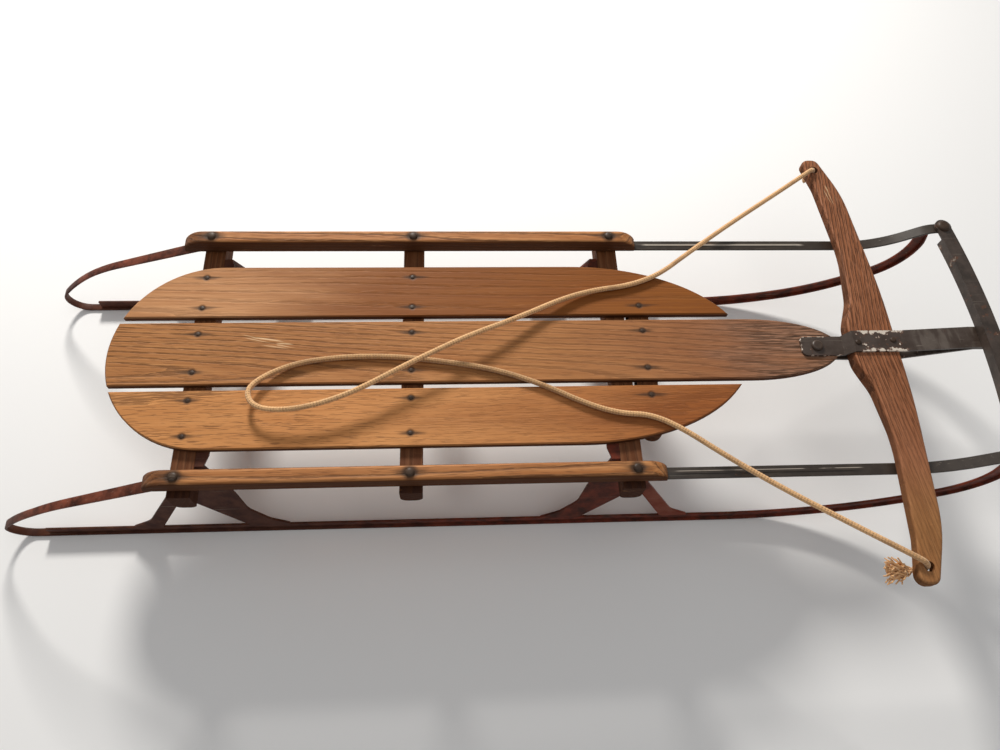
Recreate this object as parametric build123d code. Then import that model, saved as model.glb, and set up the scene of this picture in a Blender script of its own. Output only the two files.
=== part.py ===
"""Steerable wooden sled on two spring-steel runners, in millimetres.

X runs forward, Y to the sled's left and Z up. The origin is on the ground under the middle of the
overall length and width. A station is a distance along X from the tip of the rear curl.
"""
import os
from math import cos, radians, sin, tan

from build123d import *

# Stations and spacings along the sled
REAR_BENCH = 254.25
BENCH_SPACING = 261.8
CLEAT_AHEAD = 32.15
DECK_REAR = 145.5
SIDE_TAPER_BEHIND_BENCH = 53.85
SIDE_TAPER_LENGTH = 223.0
NOSE_AHEAD_OF_PIVOT = 33.0
NOSE_LENGTH = 122.0
HINGE_AHEAD_OF_BENCH = 115.65
PIVOT_BEHIND_BUMPER = 201.0
BUMPER_AHEAD_OF_RUNNER = 4.943

# Deck boards and what they lie on
CENTER_BOARD_WIDTH = 87.0
SIDE_BOARD_WIDTH = 76.0
BOARD_GAP = 7.5
BOARD_THICKNESS = 8.0
BOARD_EDGE = 1.5
DECK_BOTTOM = 161.6
BENCH_WIDTH = 26.5
BENCH_OVERHANG = 7.5
BENCH_DEPTH = 22.0
KNEE_BENCH_DEPTH = 36.0
MIDDLE_BENCH_DEPTH = 28.0
BENCH_HAUNCH = 36.0
BENCH_CORNER = 10.0
CLEAT_DEPTH = 14.0
CLEAT_HALF_LENGTH = 118.0

# Side rails
RAIL_OFFSET = 165.0
RAIL_WIDTH = 19.0
RAIL_HEIGHT = 21.0
RAIL_OVERHANG = 38.5
RAIL_NOSE = 26.0
RAIL_END_HEIGHT = 6.0
RAIL_EDGE = 4.0

# Flat spring-steel side bars, which run on from under the rails to the bumper
BAR_WIDTH = 14.3
BAR_THICKNESS = 3.0
BAR_REAR_OVERHANG = 21.0
BAR_RISE_BEHIND_BUMPER = 120.0
BAR_RISE = 38.7
BAR_SLOPE = 32.0
BAR_LOWER_BEND = 145.0
BAR_UPPER_BEND = 40.0
BAR_END = 11.0

# Runners: an upside-down T section, which is only the flat flange round the rear curl
RUNNER_OFFSET = 172.0
FLANGE_WIDTH = 10.0
FLANGE_THICKNESS = 3.0
RUNNER_HEIGHT = 17.0
WEB_THICKNESS = 3.0
WEB_REAR = 34.0
WEB_REAR_SLOPE = 7.0
CURL_RADIUS = 27.0
CURL_TURN = 132.0
CURL_BACK_RADIUS = 270.0
CURL_SLOPE = 21.5
CURL_TOP_RADIUS = 50.0
TONGUE_LENGTH = 46.0
STRIP_WIDENS_FROM = 60.0
STRIP_WIDE_BEHIND_BENCH = 29.0
RISE_AHEAD_OF_HINGE = 20.5
FRONT_BENDS = ((586.0, 16.0), (350.0, 23.0), (92.0, 64.0))  # radius and turn in degrees, in order

# Vertical spring line where the front of each side bends sideways
HINGE_OFFSET = 168.5
KNUCKLE_RADIUS = 12.0
HINGE_CLEARANCE = 0.3
HINGE_CUT = 40.0

# Pressed-steel knees, measured from the bench: towards the middle of the sled is positive
KNEE_THICKNESS = 3.0
KNEE_LEAN = 11.3
KNEE_TOE_THICKNESS = 1.8
KNEE_BROAD_TOE = 97.0
KNEE_BROAD_ANKLE = (74.0, 31.5)
KNEE_BROAD_SHIN = (52.0, 58.0)
KNEE_BROAD_WAIST = (44.5, 99.0)
KNEE_BROAD_TOP = 23.5
KNEE_BROAD_FOOT = 46.0
KNEE_CROTCH = (-20.0, 91.5)
KNEE_REAR_FOOT = -64.6
KNEE_REAR_TOE = -101.0
KNEE_REAR_ANKLE = (-77.0, 32.0)
KNEE_REAR_SHIN = (-35.0, 99.0)
KNEE_REAR_TOP = 138.0
KNEE_ROUND = 26.0
KNEE_CROTCH_ROUND = 5.0
KNEE_WING_CORNER = (28.0, 130.0)
KNEE_WING_END = 118.0
FIT_GAP = 0.3

# Steering bar with its two straps
STEERING_SPAN = 612.0
STEERING_DEPTH = 18.0
STEERING_BOTTOM = 164.0
STEERING_FRONT = 102.5
STEERING_FRONT_HALF = 80.0
STEERING_SHOULDER = 89.5
STEERING_SHOULDER_FROM_TIP = 64.0
STEERING_FRONT_TIP = 66.0
STEERING_REAR = 41.5
STEERING_REAR_HALF = 27.0
STEERING_SWELL = (55.5, 66.0)
STEERING_WAIST = (61.5, 140.0)
STEERING_GRIP = 52.0
STEERING_GRIP_LENGTH = 52.0
STEERING_TIP = 40.0
STEERING_TIP_ROUND = 11.0
STEERING_EDGE = 4.0
STEERING_REAR_CORNERS = (60.0, 260.0, 60.0, 40.0)
STEERING_FRONT_CORNERS = (200.0, 900.0)
STEERING_THICK_HALF = 40.0
STEERING_THIN_FROM = 120.0
STEERING_THIN_RISE = 6.5
STEERING_ARCH_ROUND = 200.0
STRAP_THICKNESS = 3.0
STRAP_TAIL_WIDTH = 27.0
STRAP_WIDTH = 30.0
STRAP_TAIL = 21.0
STRAP_FRONT = 222.0
STRAP_JOGGLE = 9.5
STRAP_JOGGLE_START = 33.5
STRAP_LEAVES_BAR = 108.0
STRAP_LANDS = 196.0
BOLT_RADIUS = 4.0
BOLT_CLEARANCE = 0.3
BOLT_HEAD_RADIUS = 7.5
BOLT_HEAD_HEIGHT = 3.6
NUT_WIDTH = 13.0
NUT_HEIGHT = 5.0

# Front bumper: a downturned channel with a flat eye at each end
BUMPER_WIDTH = 20.0
BUMPER_EYE_RADIUS = 11.0
BUMPER_EYE_THICKNESS = 3.4
BUMPER_DEPTH = 14.0
BUMPER_WALL = 2.5
BUMPER_BOW = 13.0
BUMPER_CHANNEL_INSET = 20.0

# Pull rope, with its route as chosen points: station, Y and height
ROPE_DIAMETER = 6.8
ROPE_HOLE_RADIUS = 6.0
ROPE_HOLE_AHEAD = 58.0
ROPE_HOLE_INSET = 20.0
KNOT_RADIUS = 9.0
KNOT_HEIGHT = 14.0
TUFT_LENGTH = 33.0
TUFT_ROOT_RADIUS = 4.0
TUFT_TIP_RADIUS = 16.0
ROPE_FROM_LEFT_HOLE = [
    (1093.0, 286.0, 187.8), (1070.0, 270.0, 187.0), (1024.0, 240.0, 181.5), (951.0, 192.0, 175.0),
    (884.0, 142.5, 173.8), (843.0, 110.5, 173.5), (800.0, 93.0, 173.5), (752.0, 86.0, 174.0),
    (708.0, 71.0, 176.5), (652.0, 40.5, 183.0), (586.0, 10.0, 190.0), (542.0, -14.0, 192.5),
    (500.0, -37.0, 192.5), (456.0, -62.0, 191.0), (416.0, -78.0, 189.5), (378.0, -86.0, 188.0),
    (347.0, -85.0, 186.5), (329.0, -76.0, 185.0), (323.0, -60.0, 183.0), (329.0, -46.5, 179.5),
    (348.0, -30.5, 175.5), (381.0, -16.0, 173.4), (436.0, -9.0, 173.4), (498.0, -9.5, 173.4),
    (560.0, -18.0, 173.4), (619.0, -29.0, 173.4), (675.0, -50.0, 173.4), (729.0, -78.0, 173.4),
    (768.0, -91.0, 173.4), (806.0, -93.0, 173.4), (842.0, -112.0, 173.6), (885.0, -145.5, 174.0),
    (948.0, -190.0, 174.8), (1024.0, -240.0, 181.0), (1070.0, -271.0, 187.0), (1093.0, -286.0, 187.8),
]

SIDES = (("left", 1), ("right", -1))


def advance(pose, size, turn):
    """The next point and heading after a straight of a length, or an arc of a radius and turn."""
    x, z, heading = pose
    if turn == 0:
        return x + size * cos(heading), z + size * sin(heading), heading
    radius = size if turn > 0 else -size
    after = heading + radians(turn)
    return (
        x + radius * (sin(after) - sin(heading)),
        z + radius * (cos(heading) - cos(after)),
        after,
    )


def run_of(legs):
    """How far legs reach forward from level."""
    pose = (0.0, 0.0, 0.0)
    for size, turn in legs:
        pose = advance(pose, size, turn)
    return pose[0]


# Derived sizes
MIDDLE_BENCH = REAR_BENCH + BENCH_SPACING
FRONT_BENCH = MIDDLE_BENCH + BENCH_SPACING
CLEAT = FRONT_BENCH + CLEAT_AHEAD
FLEX_HINGE = FRONT_BENCH + HINGE_AHEAD_OF_BENCH
RUNNER_RISE_START = FLEX_HINGE + RISE_AHEAD_OF_HINGE
BUMPER_EYE = RUNNER_RISE_START + run_of(FRONT_BENDS) + BUMPER_AHEAD_OF_RUNNER
BAR_RISE_START = BUMPER_EYE - BAR_RISE_BEHIND_BUMPER
PIVOT = BUMPER_EYE - PIVOT_BEHIND_BUMPER
SIDE_TAPER_START = FRONT_BENCH - SIDE_TAPER_BEHIND_BENCH
NOSE_TAPER_START = PIVOT + NOSE_AHEAD_OF_PIVOT - NOSE_LENGTH
LENGTH = BUMPER_EYE + BUMPER_BOW + BUMPER_WIDTH / 2
DECK_HALF_WIDTH = CENTER_BOARD_WIDTH / 2 + BOARD_GAP + SIDE_BOARD_WIDTH
BENCH_HALF_LENGTH = RAIL_OFFSET + RAIL_WIDTH / 2 + BENCH_OVERHANG
BAR_BOTTOM = DECK_BOTTOM
RAIL_BOTTOM = BAR_BOTTOM + BAR_THICKNESS
DECK_TOP = DECK_BOTTOM + BOARD_THICKNESS
STEERING_TOP = STEERING_BOTTOM + STEERING_DEPTH
ROPE_HOLE_OFFSET = STEERING_SPAN / 2 - ROPE_HOLE_INSET
KNOT_TOP = STEERING_BOTTOM + STEERING_THIN_RISE - FIT_GAP
BUMPER_TOP = RAIL_BOTTOM + BAR_RISE + FIT_GAP + BUMPER_EYE_THICKNESS
BUMPER_BOTTOM = BUMPER_TOP - BUMPER_DEPTH


def along(station):
    """The X of a station."""
    return station - LENGTH / 2


def bent_strip(start, facing, legs, low, high, width, y):
    """A strip bent along legs of (length or radius, turn), between two distances to its left."""

    def place(pose, distance):
        x, z, heading = pose
        return (
            start[0] + facing * (x - distance * sin(heading)),
            start[1] + z + distance * cos(heading),
        )

    poses = [(0.0, 0.0, 0.0)]
    lower, upper = [], []
    for size, turn in legs:
        pose = poses[-1]
        after = advance(pose, size, turn)
        halfway = advance(pose, size / 2 if turn == 0 else size, turn / 2)
        for edges, distance in ((lower, low), (upper, high)):
            ends = (place(pose, distance), place(after, distance))
            if turn == 0:
                edges.append(Line(*ends))
            else:
                edges.append(ThreePointArc(ends[0], place(halfway, distance), ends[1]))
        poses.append(after)
    first = Line(place(poses[0], low), place(poses[0], high))
    last = Line(place(poses[-1], low), place(poses[-1], high))
    face = make_face([*lower, last, *upper, first])
    return Pos(0, y, 0) * extrude(Plane.XZ * face, amount=width / 2, both=True)


def box_between(low, high):
    """A box from its lowest and highest corners."""
    size = [high[i] - low[i] for i in range(3)]
    middle = [(high[i] + low[i]) / 2 for i in range(3)]
    return Pos(*middle) * Box(*size)


def upright(x, y, bottom, top, radius):
    """A vertical round bar between two heights."""
    return Pos(x, y, (bottom + top) / 2) * Cylinder(radius, top - bottom)


def deck_boards():
    """Three boards cut to one outline: a round rear end, tapered side boards and a pointed nose."""
    rear_center = along(DECK_REAR + DECK_HALF_WIDTH)
    side_start, nose_start = along(SIDE_TAPER_START), along(NOSE_TAPER_START)
    nose_half = CENTER_BOARD_WIDTH / 2
    rear_round = Pos(rear_center, 0) * Circle(DECK_HALF_WIDTH)
    side_front = Pos(side_start, 0) * Ellipse(SIDE_TAPER_LENGTH, DECK_HALF_WIDTH)
    nose = Pos(nose_start, 0) * Ellipse(NOSE_LENGTH, nose_half)

    def band(start, end, inner, outer):
        return Pos((start + end) / 2, (inner + outer) / 2) * Rectangle(end - start, abs(outer - inner))

    def board(inner, outer, front_start, front, front_length):
        rear = rear_round & band(rear_center - DECK_HALF_WIDTH, rear_center, inner, outer)
        tip = front & band(front_start, front_start + front_length, inner, outer)
        return rear + band(rear_center, front_start, inner, outer) + tip

    center = board(-nose_half, nose_half, nose_start, nose, NOSE_LENGTH)
    outlines = {"deck_board_center": center - Pos(along(PIVOT), 0) * Circle(BOLT_RADIUS + BOLT_CLEARANCE)}
    for side, sign in SIDES:
        inner = sign * (nose_half + BOARD_GAP)
        outer = sign * DECK_HALF_WIDTH
        outlines["deck_board_" + side] = board(inner, outer, side_start, side_front, SIDE_TAPER_LENGTH)
    parts = {}
    for name, outline in outlines.items():
        plank = extrude(Pos(0, 0, DECK_BOTTOM) * outline, amount=BOARD_THICKNESS)
        rim = plank.faces().sort_by(Axis.Z)[-1].outer_wire().edges()
        parts[name] = chamfer(rim, BOARD_EDGE)
    return parts


def bench(station, end_depth):
    """A crosspiece under the deck, deeper over the runners and rounded below at its ends."""
    reach = BENCH_HALF_LENGTH
    haunch = reach - BENCH_HAUNCH
    foot = DECK_BOTTOM - end_depth
    arch = DECK_BOTTOM - BENCH_DEPTH
    slope = haunch - (arch - foot)
    outline = Polyline(
        (-reach, DECK_BOTTOM), (-reach, foot), (-haunch, foot), (-slope, arch),
        (slope, arch), (haunch, foot), (reach, foot), (reach, DECK_BOTTOM), close=True,
    )
    arched = extrude(Plane.YZ * make_face(outline), amount=BENCH_WIDTH / 2, both=True)
    section = Pos(0, DECK_BOTTOM - end_depth / 2) * Rectangle(BENCH_WIDTH, end_depth)
    section = fillet(section.vertices().group_by(Axis.Y)[0], BENCH_CORNER)
    return Pos(along(station), 0, 0) * (arched & extrude(Plane.XZ * section, amount=reach, both=True))


def deck_cleat():
    """The short crosspiece ahead of the front bench, under the boards only."""
    outline = Pos(along(CLEAT), 0) * RectangleRounded(
        BENCH_WIDTH, 2 * CLEAT_HALF_LENGTH, BENCH_WIDTH / 2 - FIT_GAP
    )
    return extrude(Pos(0, 0, DECK_BOTTOM - CLEAT_DEPTH) * outline, amount=CLEAT_DEPTH)


def side_rail(sign):
    """A rail along the top, its ends rounded down and its upper edges eased."""
    rear = along(REAR_BENCH - RAIL_OVERHANG)
    front = along(FRONT_BENCH + RAIL_OVERHANG)
    top = RAIL_BOTTOM + RAIL_HEIGHT
    end_top = RAIL_BOTTOM + RAIL_END_HEIGHT
    drop = top - end_top
    radius = (RAIL_NOSE**2 + drop**2) / (2 * drop)
    outline = [
        Line((rear, RAIL_BOTTOM), (front, RAIL_BOTTOM)),
        Line((front, RAIL_BOTTOM), (front, end_top)),
        RadiusArc((front, end_top), (front - RAIL_NOSE, top), -radius),
        Line((front - RAIL_NOSE, top), (rear + RAIL_NOSE, top)),
        RadiusArc((rear + RAIL_NOSE, top), (rear, end_top), -radius),
        Line((rear, end_top), (rear, RAIL_BOTTOM)),
    ]
    piece = extrude(Plane.XZ * make_face(outline), amount=RAIL_WIDTH / 2, both=True)
    upper = piece.edges().filter_by(lambda edge: edge.center().Z > end_top + FIT_GAP)
    long_edges = [edge for edge in upper if abs(edge.center().Y) > RAIL_WIDTH / 2 - FIT_GAP]
    return Pos(0, sign * RAIL_OFFSET, 0) * fillet(long_edges, RAIL_EDGE)


def cut_rear_of_hinge(piece, sign):
    """What stays with the frame behind the spring line, ending in a round knuckle."""
    x, y = along(FLEX_HINGE), sign * HINGE_OFFSET
    knuckle = upright(x, y, -1.0, BUMPER_TOP, KNUCKLE_RADIUS)
    ahead = box_between((x, y - HINGE_CUT, -1.0), (x + LENGTH, y + HINGE_CUT, BUMPER_TOP))
    return piece - (ahead - knuckle)


def cut_ahead_of_hinge(piece, sign):
    """What swings ahead of the spring line, hollowed to clear the knuckle."""
    x, y = along(FLEX_HINGE), sign * HINGE_OFFSET
    knuckle = upright(x, y, -1.0, BUMPER_TOP, KNUCKLE_RADIUS + HINGE_CLEARANCE)
    return piece - knuckle


def bar_legs():
    """The side bar's line ahead of the rail: level, up over two bends and level at the bumper."""
    bends = (BAR_LOWER_BEND + BAR_UPPER_BEND) * (1 - cos(radians(BAR_SLOPE)))
    ramp = (BAR_RISE - bends) / sin(radians(BAR_SLOPE))
    run = (BAR_LOWER_BEND + BAR_UPPER_BEND) * sin(radians(BAR_SLOPE)) + ramp * cos(radians(BAR_SLOPE))
    return [
        (BAR_RISE_START - FLEX_HINGE, 0),
        (BAR_LOWER_BEND, BAR_SLOPE),
        (ramp, 0),
        (BAR_UPPER_BEND, -BAR_SLOPE),
        (BUMPER_EYE - BAR_RISE_START - run, 0),
    ]


def side_bars(sign):
    """The frame part and the swinging front part of one side bar."""
    y = sign * RAIL_OFFSET
    hinge = along(FLEX_HINGE)
    rear = along(MIDDLE_BENCH - BAR_REAR_OVERHANG)
    frame_part = box_between(
        (rear, y - BAR_WIDTH / 2, BAR_BOTTOM),
        (hinge + KNUCKLE_RADIUS, y + BAR_WIDTH / 2, RAIL_BOTTOM),
    )
    front = bent_strip((hinge, BAR_BOTTOM), 1, bar_legs(), 0, BAR_THICKNESS, BAR_WIDTH, y)
    end_bottom = BAR_BOTTOM + BAR_RISE
    eye = upright(along(BUMPER_EYE), y, end_bottom, end_bottom + BAR_THICKNESS, BAR_WIDTH / 2)
    return cut_rear_of_hinge(frame_part, sign), cut_ahead_of_hinge(front + eye, sign)


def runners(sign):
    """The frame part, curled up to the rear of the rail, and the swinging front part."""
    y = sign * RUNNER_OFFSET
    hinge = along(FLEX_HINGE)
    after_curl = advance((0, 0, 0), CURL_RADIUS, CURL_TURN)
    back_turn = 180.0 - CURL_SLOPE - CURL_TURN
    after_back = advance(after_curl, CURL_BACK_RADIUS, back_turn)
    top_bend_rise = CURL_TOP_RADIUS * (1 - cos(radians(CURL_SLOPE)))
    ramp = (RAIL_BOTTOM - after_back[1] - top_bend_rise) / sin(radians(CURL_SLOPE))
    legs = [
        (CURL_RADIUS, CURL_TURN),
        (CURL_BACK_RADIUS, back_turn),
        (ramp, 0),
        (CURL_TOP_RADIUS, CURL_SLOPE),
        (TONGUE_LENGTH, 0),
    ]
    widest = RUNNER_OFFSET + FLANGE_WIDTH
    curl = bent_strip((along(CURL_RADIUS), 0), -1, legs, 0, FLANGE_THICKNESS, widest, y)
    tongue_front = along(REAR_BENCH + BENCH_WIDTH / 2)
    widens, wide = along(STRIP_WIDENS_FROM), along(REAR_BENCH - STRIP_WIDE_BEHIND_BENCH)
    edges = [
        (tongue_front, RAIL_OFFSET), (wide, RAIL_OFFSET), (widens, RUNNER_OFFSET), (along(0) - 1, RUNNER_OFFSET),
    ]
    halves = (BAR_WIDTH / 2, BAR_WIDTH / 2, FLANGE_WIDTH / 2, FLANGE_WIDTH / 2)
    outer = [(x, sign * (middle + half)) for (x, middle), half in zip(edges, halves)]
    inner = [(x, sign * (middle - half)) for (x, middle), half in zip(edges, halves)]
    plan = make_face(Polyline(*outer, *reversed(inner), close=True))
    curl = curl & extrude(Pos(0, 0, -1) * plan, amount=BUMPER_TOP, dir=(0, 0, 1))
    flat = box_between(
        (along(CURL_RADIUS), y - FLANGE_WIDTH / 2, 0), (hinge + KNUCKLE_RADIUS, y + FLANGE_WIDTH / 2, FLANGE_THICKNESS)
    )
    web_outline = Polyline(
        (along(WEB_REAR), FLANGE_THICKNESS),
        (along(WEB_REAR + WEB_REAR_SLOPE), RUNNER_HEIGHT),
        (hinge + KNUCKLE_RADIUS, RUNNER_HEIGHT),
        (hinge + KNUCKLE_RADIUS, FLANGE_THICKNESS),
        close=True,
    )
    web = extrude(Plane.XZ * make_face(web_outline), amount=WEB_THICKNESS / 2, both=True)
    frame_part = curl + flat + Pos(0, y, 0) * web
    front_legs = [(RUNNER_RISE_START - FLEX_HINGE, 0), *FRONT_BENDS]
    end = (0.0, 0.0, 0.0)
    for size, turn in front_legs:
        end = advance(end, size, turn)
    front_legs.append(((RAIL_BOTTOM + BAR_RISE - end[1]) / sin(end[2]), 0))
    flange = bent_strip((hinge, 0), 1, front_legs, 0, FLANGE_THICKNESS, FLANGE_WIDTH, y)
    front_web = bent_strip((hinge, 0), 1, front_legs, FLANGE_THICKNESS, RUNNER_HEIGHT, WEB_THICKNESS, y)
    above_bar = bent_strip(
        (hinge, BAR_BOTTOM), 1, bar_legs(), 0, BAR_UPPER_BEND, 2 * FLANGE_WIDTH + BAR_WIDTH, y
    )
    front_part = (flange + front_web) - above_bar
    return cut_rear_of_hinge(frame_part, sign), cut_ahead_of_hinge(front_part, sign)


def knee(station, facing, sign):
    """A pressed knee leaning in to the deck, with a small wing beside the bench, facing the middle."""
    bench_half = BENCH_WIDTH / 2 + FIT_GAP
    lean = radians(KNEE_LEAN)

    def inwards(height):
        return (height - RUNNER_HEIGHT) * tan(lean)

    outline = [
        (KNEE_BROAD_TOP, DECK_BOTTOM + KNEE_THICKNESS), (KNEE_BROAD_TOP, DECK_BOTTOM), KNEE_BROAD_WAIST,
        KNEE_BROAD_SHIN, KNEE_BROAD_ANKLE, (KNEE_BROAD_TOE, RUNNER_HEIGHT + KNEE_TOE_THICKNESS),
        (KNEE_BROAD_TOE, 0.0), (KNEE_BROAD_FOOT, 0.0), (KNEE_BROAD_FOOT, RUNNER_HEIGHT), KNEE_CROTCH,
        (KNEE_REAR_FOOT, RUNNER_HEIGHT), (KNEE_REAR_FOOT, 0.0), (KNEE_REAR_TOE, 0.0),
        (KNEE_REAR_TOE, RUNNER_HEIGHT + KNEE_TOE_THICKNESS), KNEE_REAR_ANKLE, KNEE_REAR_SHIN,
        (-bench_half, KNEE_REAR_TOP), (-bench_half, DECK_BOTTOM + KNEE_THICKNESS),
    ]
    sheet = make_face(Polyline(*[(x, (z - RUNNER_HEIGHT) / cos(lean)) for x, z in outline], close=True))
    bends = {KNEE_BROAD_WAIST, KNEE_BROAD_SHIN, KNEE_BROAD_ANKLE, KNEE_REAR_ANKLE}

    def corner_at(point):
        x, z = point
        return sheet.vertices().sort_by_distance((x, (z - RUNNER_HEIGHT) / cos(lean), 0))[0]

    sheet = fillet([corner_at(point) for point in bends], KNEE_ROUND)
    sheet = fillet(corner_at(KNEE_CROTCH), KNEE_CROTCH_ROUND)
    plate = extrude(Plane.XZ * sheet, amount=KNEE_THICKNESS / 2, both=True)
    plate = Pos(0, 0, RUNNER_HEIGHT) * Rot(KNEE_LEAN, 0, 0) * plate
    reach = RUNNER_OFFSET
    plate = plate & box_between((-reach, -reach, RUNNER_HEIGHT), (reach, reach, DECK_BOTTOM))
    notch = box_between(
        (-bench_half, -reach, DECK_BOTTOM - KNEE_BENCH_DEPTH - FIT_GAP), (bench_half, reach, DECK_BOTTOM + 1)
    )
    root = -inwards(DECK_BOTTOM - KNEE_THICKNESS / 2)
    corner = (KNEE_WING_CORNER[0], KNEE_WING_CORNER[1] - RUNNER_OFFSET)
    end = KNEE_WING_END - RUNNER_OFFSET
    wing = extrude(
        Pos(0, 0, DECK_BOTTOM - KNEE_THICKNESS) * make_face(Polyline(
            (bench_half, root), (KNEE_BROAD_TOP, root), corner, (corner[0], end), (bench_half, end),
            close=True,
        )),
        amount=KNEE_THICKNESS,
    )
    piece = plate - notch + wing
    if facing < 0:
        piece = piece.mirror(Plane.YZ)
    if sign < 0:
        piece = piece.mirror(Plane.XZ)
    return Pos(along(station), sign * RUNNER_OFFSET, 0) * piece


def steering_bar():
    """The bowed foot bar, thicker at its middle than over the side bars, and bored for the rope."""
    pivot = along(PIVOT)
    half = STEERING_SPAN / 2

    def edge(half_points, corners):
        points = [(pivot + x, y) for x, y in half_points]
        points += [(x, -y) for x, y in reversed(points)]
        return FilletPolyline(*points, radius=[*corners, *reversed(corners)])

    rear = edge(
        [
            (STEERING_TIP, half), (STEERING_GRIP, half - STEERING_GRIP_LENGTH), STEERING_WAIST,
            STEERING_SWELL, (STEERING_REAR, STEERING_REAR_HALF),
        ],
        STEERING_REAR_CORNERS,
    )
    front = edge(
        [
            (STEERING_FRONT_TIP, half), (STEERING_SHOULDER, half - STEERING_SHOULDER_FROM_TIP),
            (STEERING_FRONT, STEERING_FRONT_HALF),
        ],
        STEERING_FRONT_CORNERS,
    )
    tips = [Line((pivot + STEERING_FRONT_TIP, s * half), (pivot + STEERING_TIP, s * half)) for s in (1, -1)]
    outline = make_face([rear, front, *tips])
    corners = [vertex for vertex in outline.vertices() if abs(vertex.Y) > half - 1.0]
    outline = fillet(corners, STEERING_TIP_ROUND)
    bar = extrude(Pos(0, 0, STEERING_BOTTOM) * outline, amount=STEERING_DEPTH)
    bar = fillet(bar.faces().sort_by(Axis.Z)[-1].edges(), STEERING_EDGE)
    thin = STEERING_BOTTOM + STEERING_THIN_RISE
    under_half = [(half + 1, thin), (STEERING_THIN_FROM, thin), (STEERING_THICK_HALF, STEERING_BOTTOM)]
    under_points = under_half + [(-y, z) for y, z in reversed(under_half)]
    under = FilletPolyline(*under_points, radius=STEERING_ARCH_ROUND)
    over = Polyline((half + 1, thin), (half + 1, STEERING_TOP + 1), (-half - 1, STEERING_TOP + 1), (-half - 1, thin))
    block = extrude(Plane.YZ.offset(pivot) * make_face([under, over]), amount=2 * STEERING_FRONT)
    bar = bar & block
    for _, sign in SIDES:
        bar -= upright(
            pivot + ROPE_HOLE_AHEAD, sign * ROPE_HOLE_OFFSET,
            STEERING_BOTTOM, STEERING_TOP, ROPE_HOLE_RADIUS,
        )
    return bar


def strap_plan(bottom, top):
    """The straps' plan as a solid: a round tail, widening where it leaves the nose."""
    pivot = along(PIVOT)
    joggle = pivot + STRAP_JOGGLE_START
    end = pivot + STRAP_FRONT
    tail, full = STRAP_TAIL_WIDTH / 2, STRAP_WIDTH / 2
    outline = Polyline(
        (pivot - STRAP_TAIL, -tail), (joggle, -tail), (joggle + STRAP_JOGGLE, -full), (end, -full),
        (end, full), (joggle + STRAP_JOGGLE, full), (joggle, tail), (pivot - STRAP_TAIL, tail), close=True,
    )
    face = make_face(outline)
    corners = face.vertices().group_by(Axis.X)
    face = fillet([*corners[0], *corners[-1]], tail / 2)
    return extrude(Pos(0, 0, bottom) * face, amount=top - bottom)


def strap(tail_bottom, bar_bottom, end_bottom):
    """A flat strap from the pivot, stepped to the steering bar and sloped to the bumper."""
    pivot = along(PIVOT)
    stops = [
        (pivot - STRAP_TAIL, tail_bottom),
        (pivot + STRAP_JOGGLE_START, tail_bottom),
        (pivot + STRAP_JOGGLE_START + STRAP_JOGGLE, bar_bottom),
        (pivot + STRAP_LEAVES_BAR, bar_bottom),
        (pivot + STRAP_LANDS, end_bottom),
        (pivot + STRAP_FRONT, end_bottom),
    ]
    upper = [(x, z + STRAP_THICKNESS) for x, z in reversed(stops)]
    profile = Plane.XZ * make_face(Polyline(*stops, *upper, close=True))
    sheet = extrude(profile, amount=STRAP_WIDTH, both=True)
    bottom = min(tail_bottom, bar_bottom) - 1.0
    piece = sheet & strap_plan(bottom, BUMPER_TOP)
    return piece - upright(pivot, 0, bottom, BUMPER_TOP, BOLT_RADIUS + BOLT_CLEARANCE)


def pivot_bolt():
    """The nose bolt: a domed head over the upper strap and a nut under the lower one."""
    pivot = along(PIVOT)
    head_bottom = DECK_TOP + STRAP_THICKNESS + FIT_GAP
    nut_top = DECK_BOTTOM - STRAP_THICKNESS - FIT_GAP
    head = fillet(Cylinder(BOLT_HEAD_RADIUS, BOLT_HEAD_HEIGHT).edges().sort_by(Axis.Z)[-1], 3.0)
    nut = extrude(RegularPolygon(NUT_WIDTH / 2, 6), amount=NUT_HEIGHT)
    shank = upright(pivot, 0, nut_top - NUT_HEIGHT, head_bottom + BOLT_HEAD_HEIGHT / 2, BOLT_RADIUS)
    head = Pos(pivot, 0, head_bottom + BOLT_HEAD_HEIGHT / 2) * head
    return head + shank + Pos(pivot, 0, nut_top - NUT_HEIGHT) * nut


def bumper():
    """The bowed bumper: a channel open below, with a flat round eye over each side bar's end."""
    eye = along(BUMPER_EYE)
    half = RAIL_OFFSET
    radius = (half**2 + BUMPER_BOW**2) / (2 * BUMPER_BOW)
    center = eye + BUMPER_BOW - radius

    def ring(width, reach):
        circle_band = Pos(center, 0) * (Circle(radius + width / 2) - Circle(radius - width / 2))
        window = Pos(eye, 0) * Rectangle(2 * radius, 2 * reach)
        return circle_band & (window & Pos(eye + radius / 2, 0) * Rectangle(radius * 1.5, 2 * reach))

    reach = half - BUMPER_CHANNEL_INSET
    channel = extrude(Pos(0, 0, BUMPER_BOTTOM) * ring(BUMPER_WIDTH, reach), amount=BUMPER_DEPTH)
    hollow = extrude(
        Pos(0, 0, BUMPER_BOTTOM) * ring(BUMPER_WIDTH - 2 * BUMPER_WALL, reach - BUMPER_WALL),
        amount=BUMPER_DEPTH - BUMPER_WALL,
    )
    flat_bottom = BUMPER_TOP - BUMPER_EYE_THICKNESS
    flat = extrude(Pos(0, 0, flat_bottom) * ring(BUMPER_WIDTH, half), amount=BUMPER_EYE_THICKNESS)
    piece = channel - hollow + (flat - hollow)
    for _, sign in SIDES:
        piece += upright(eye, sign * half, flat_bottom, BUMPER_TOP, BUMPER_EYE_RADIUS)
    return piece


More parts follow.
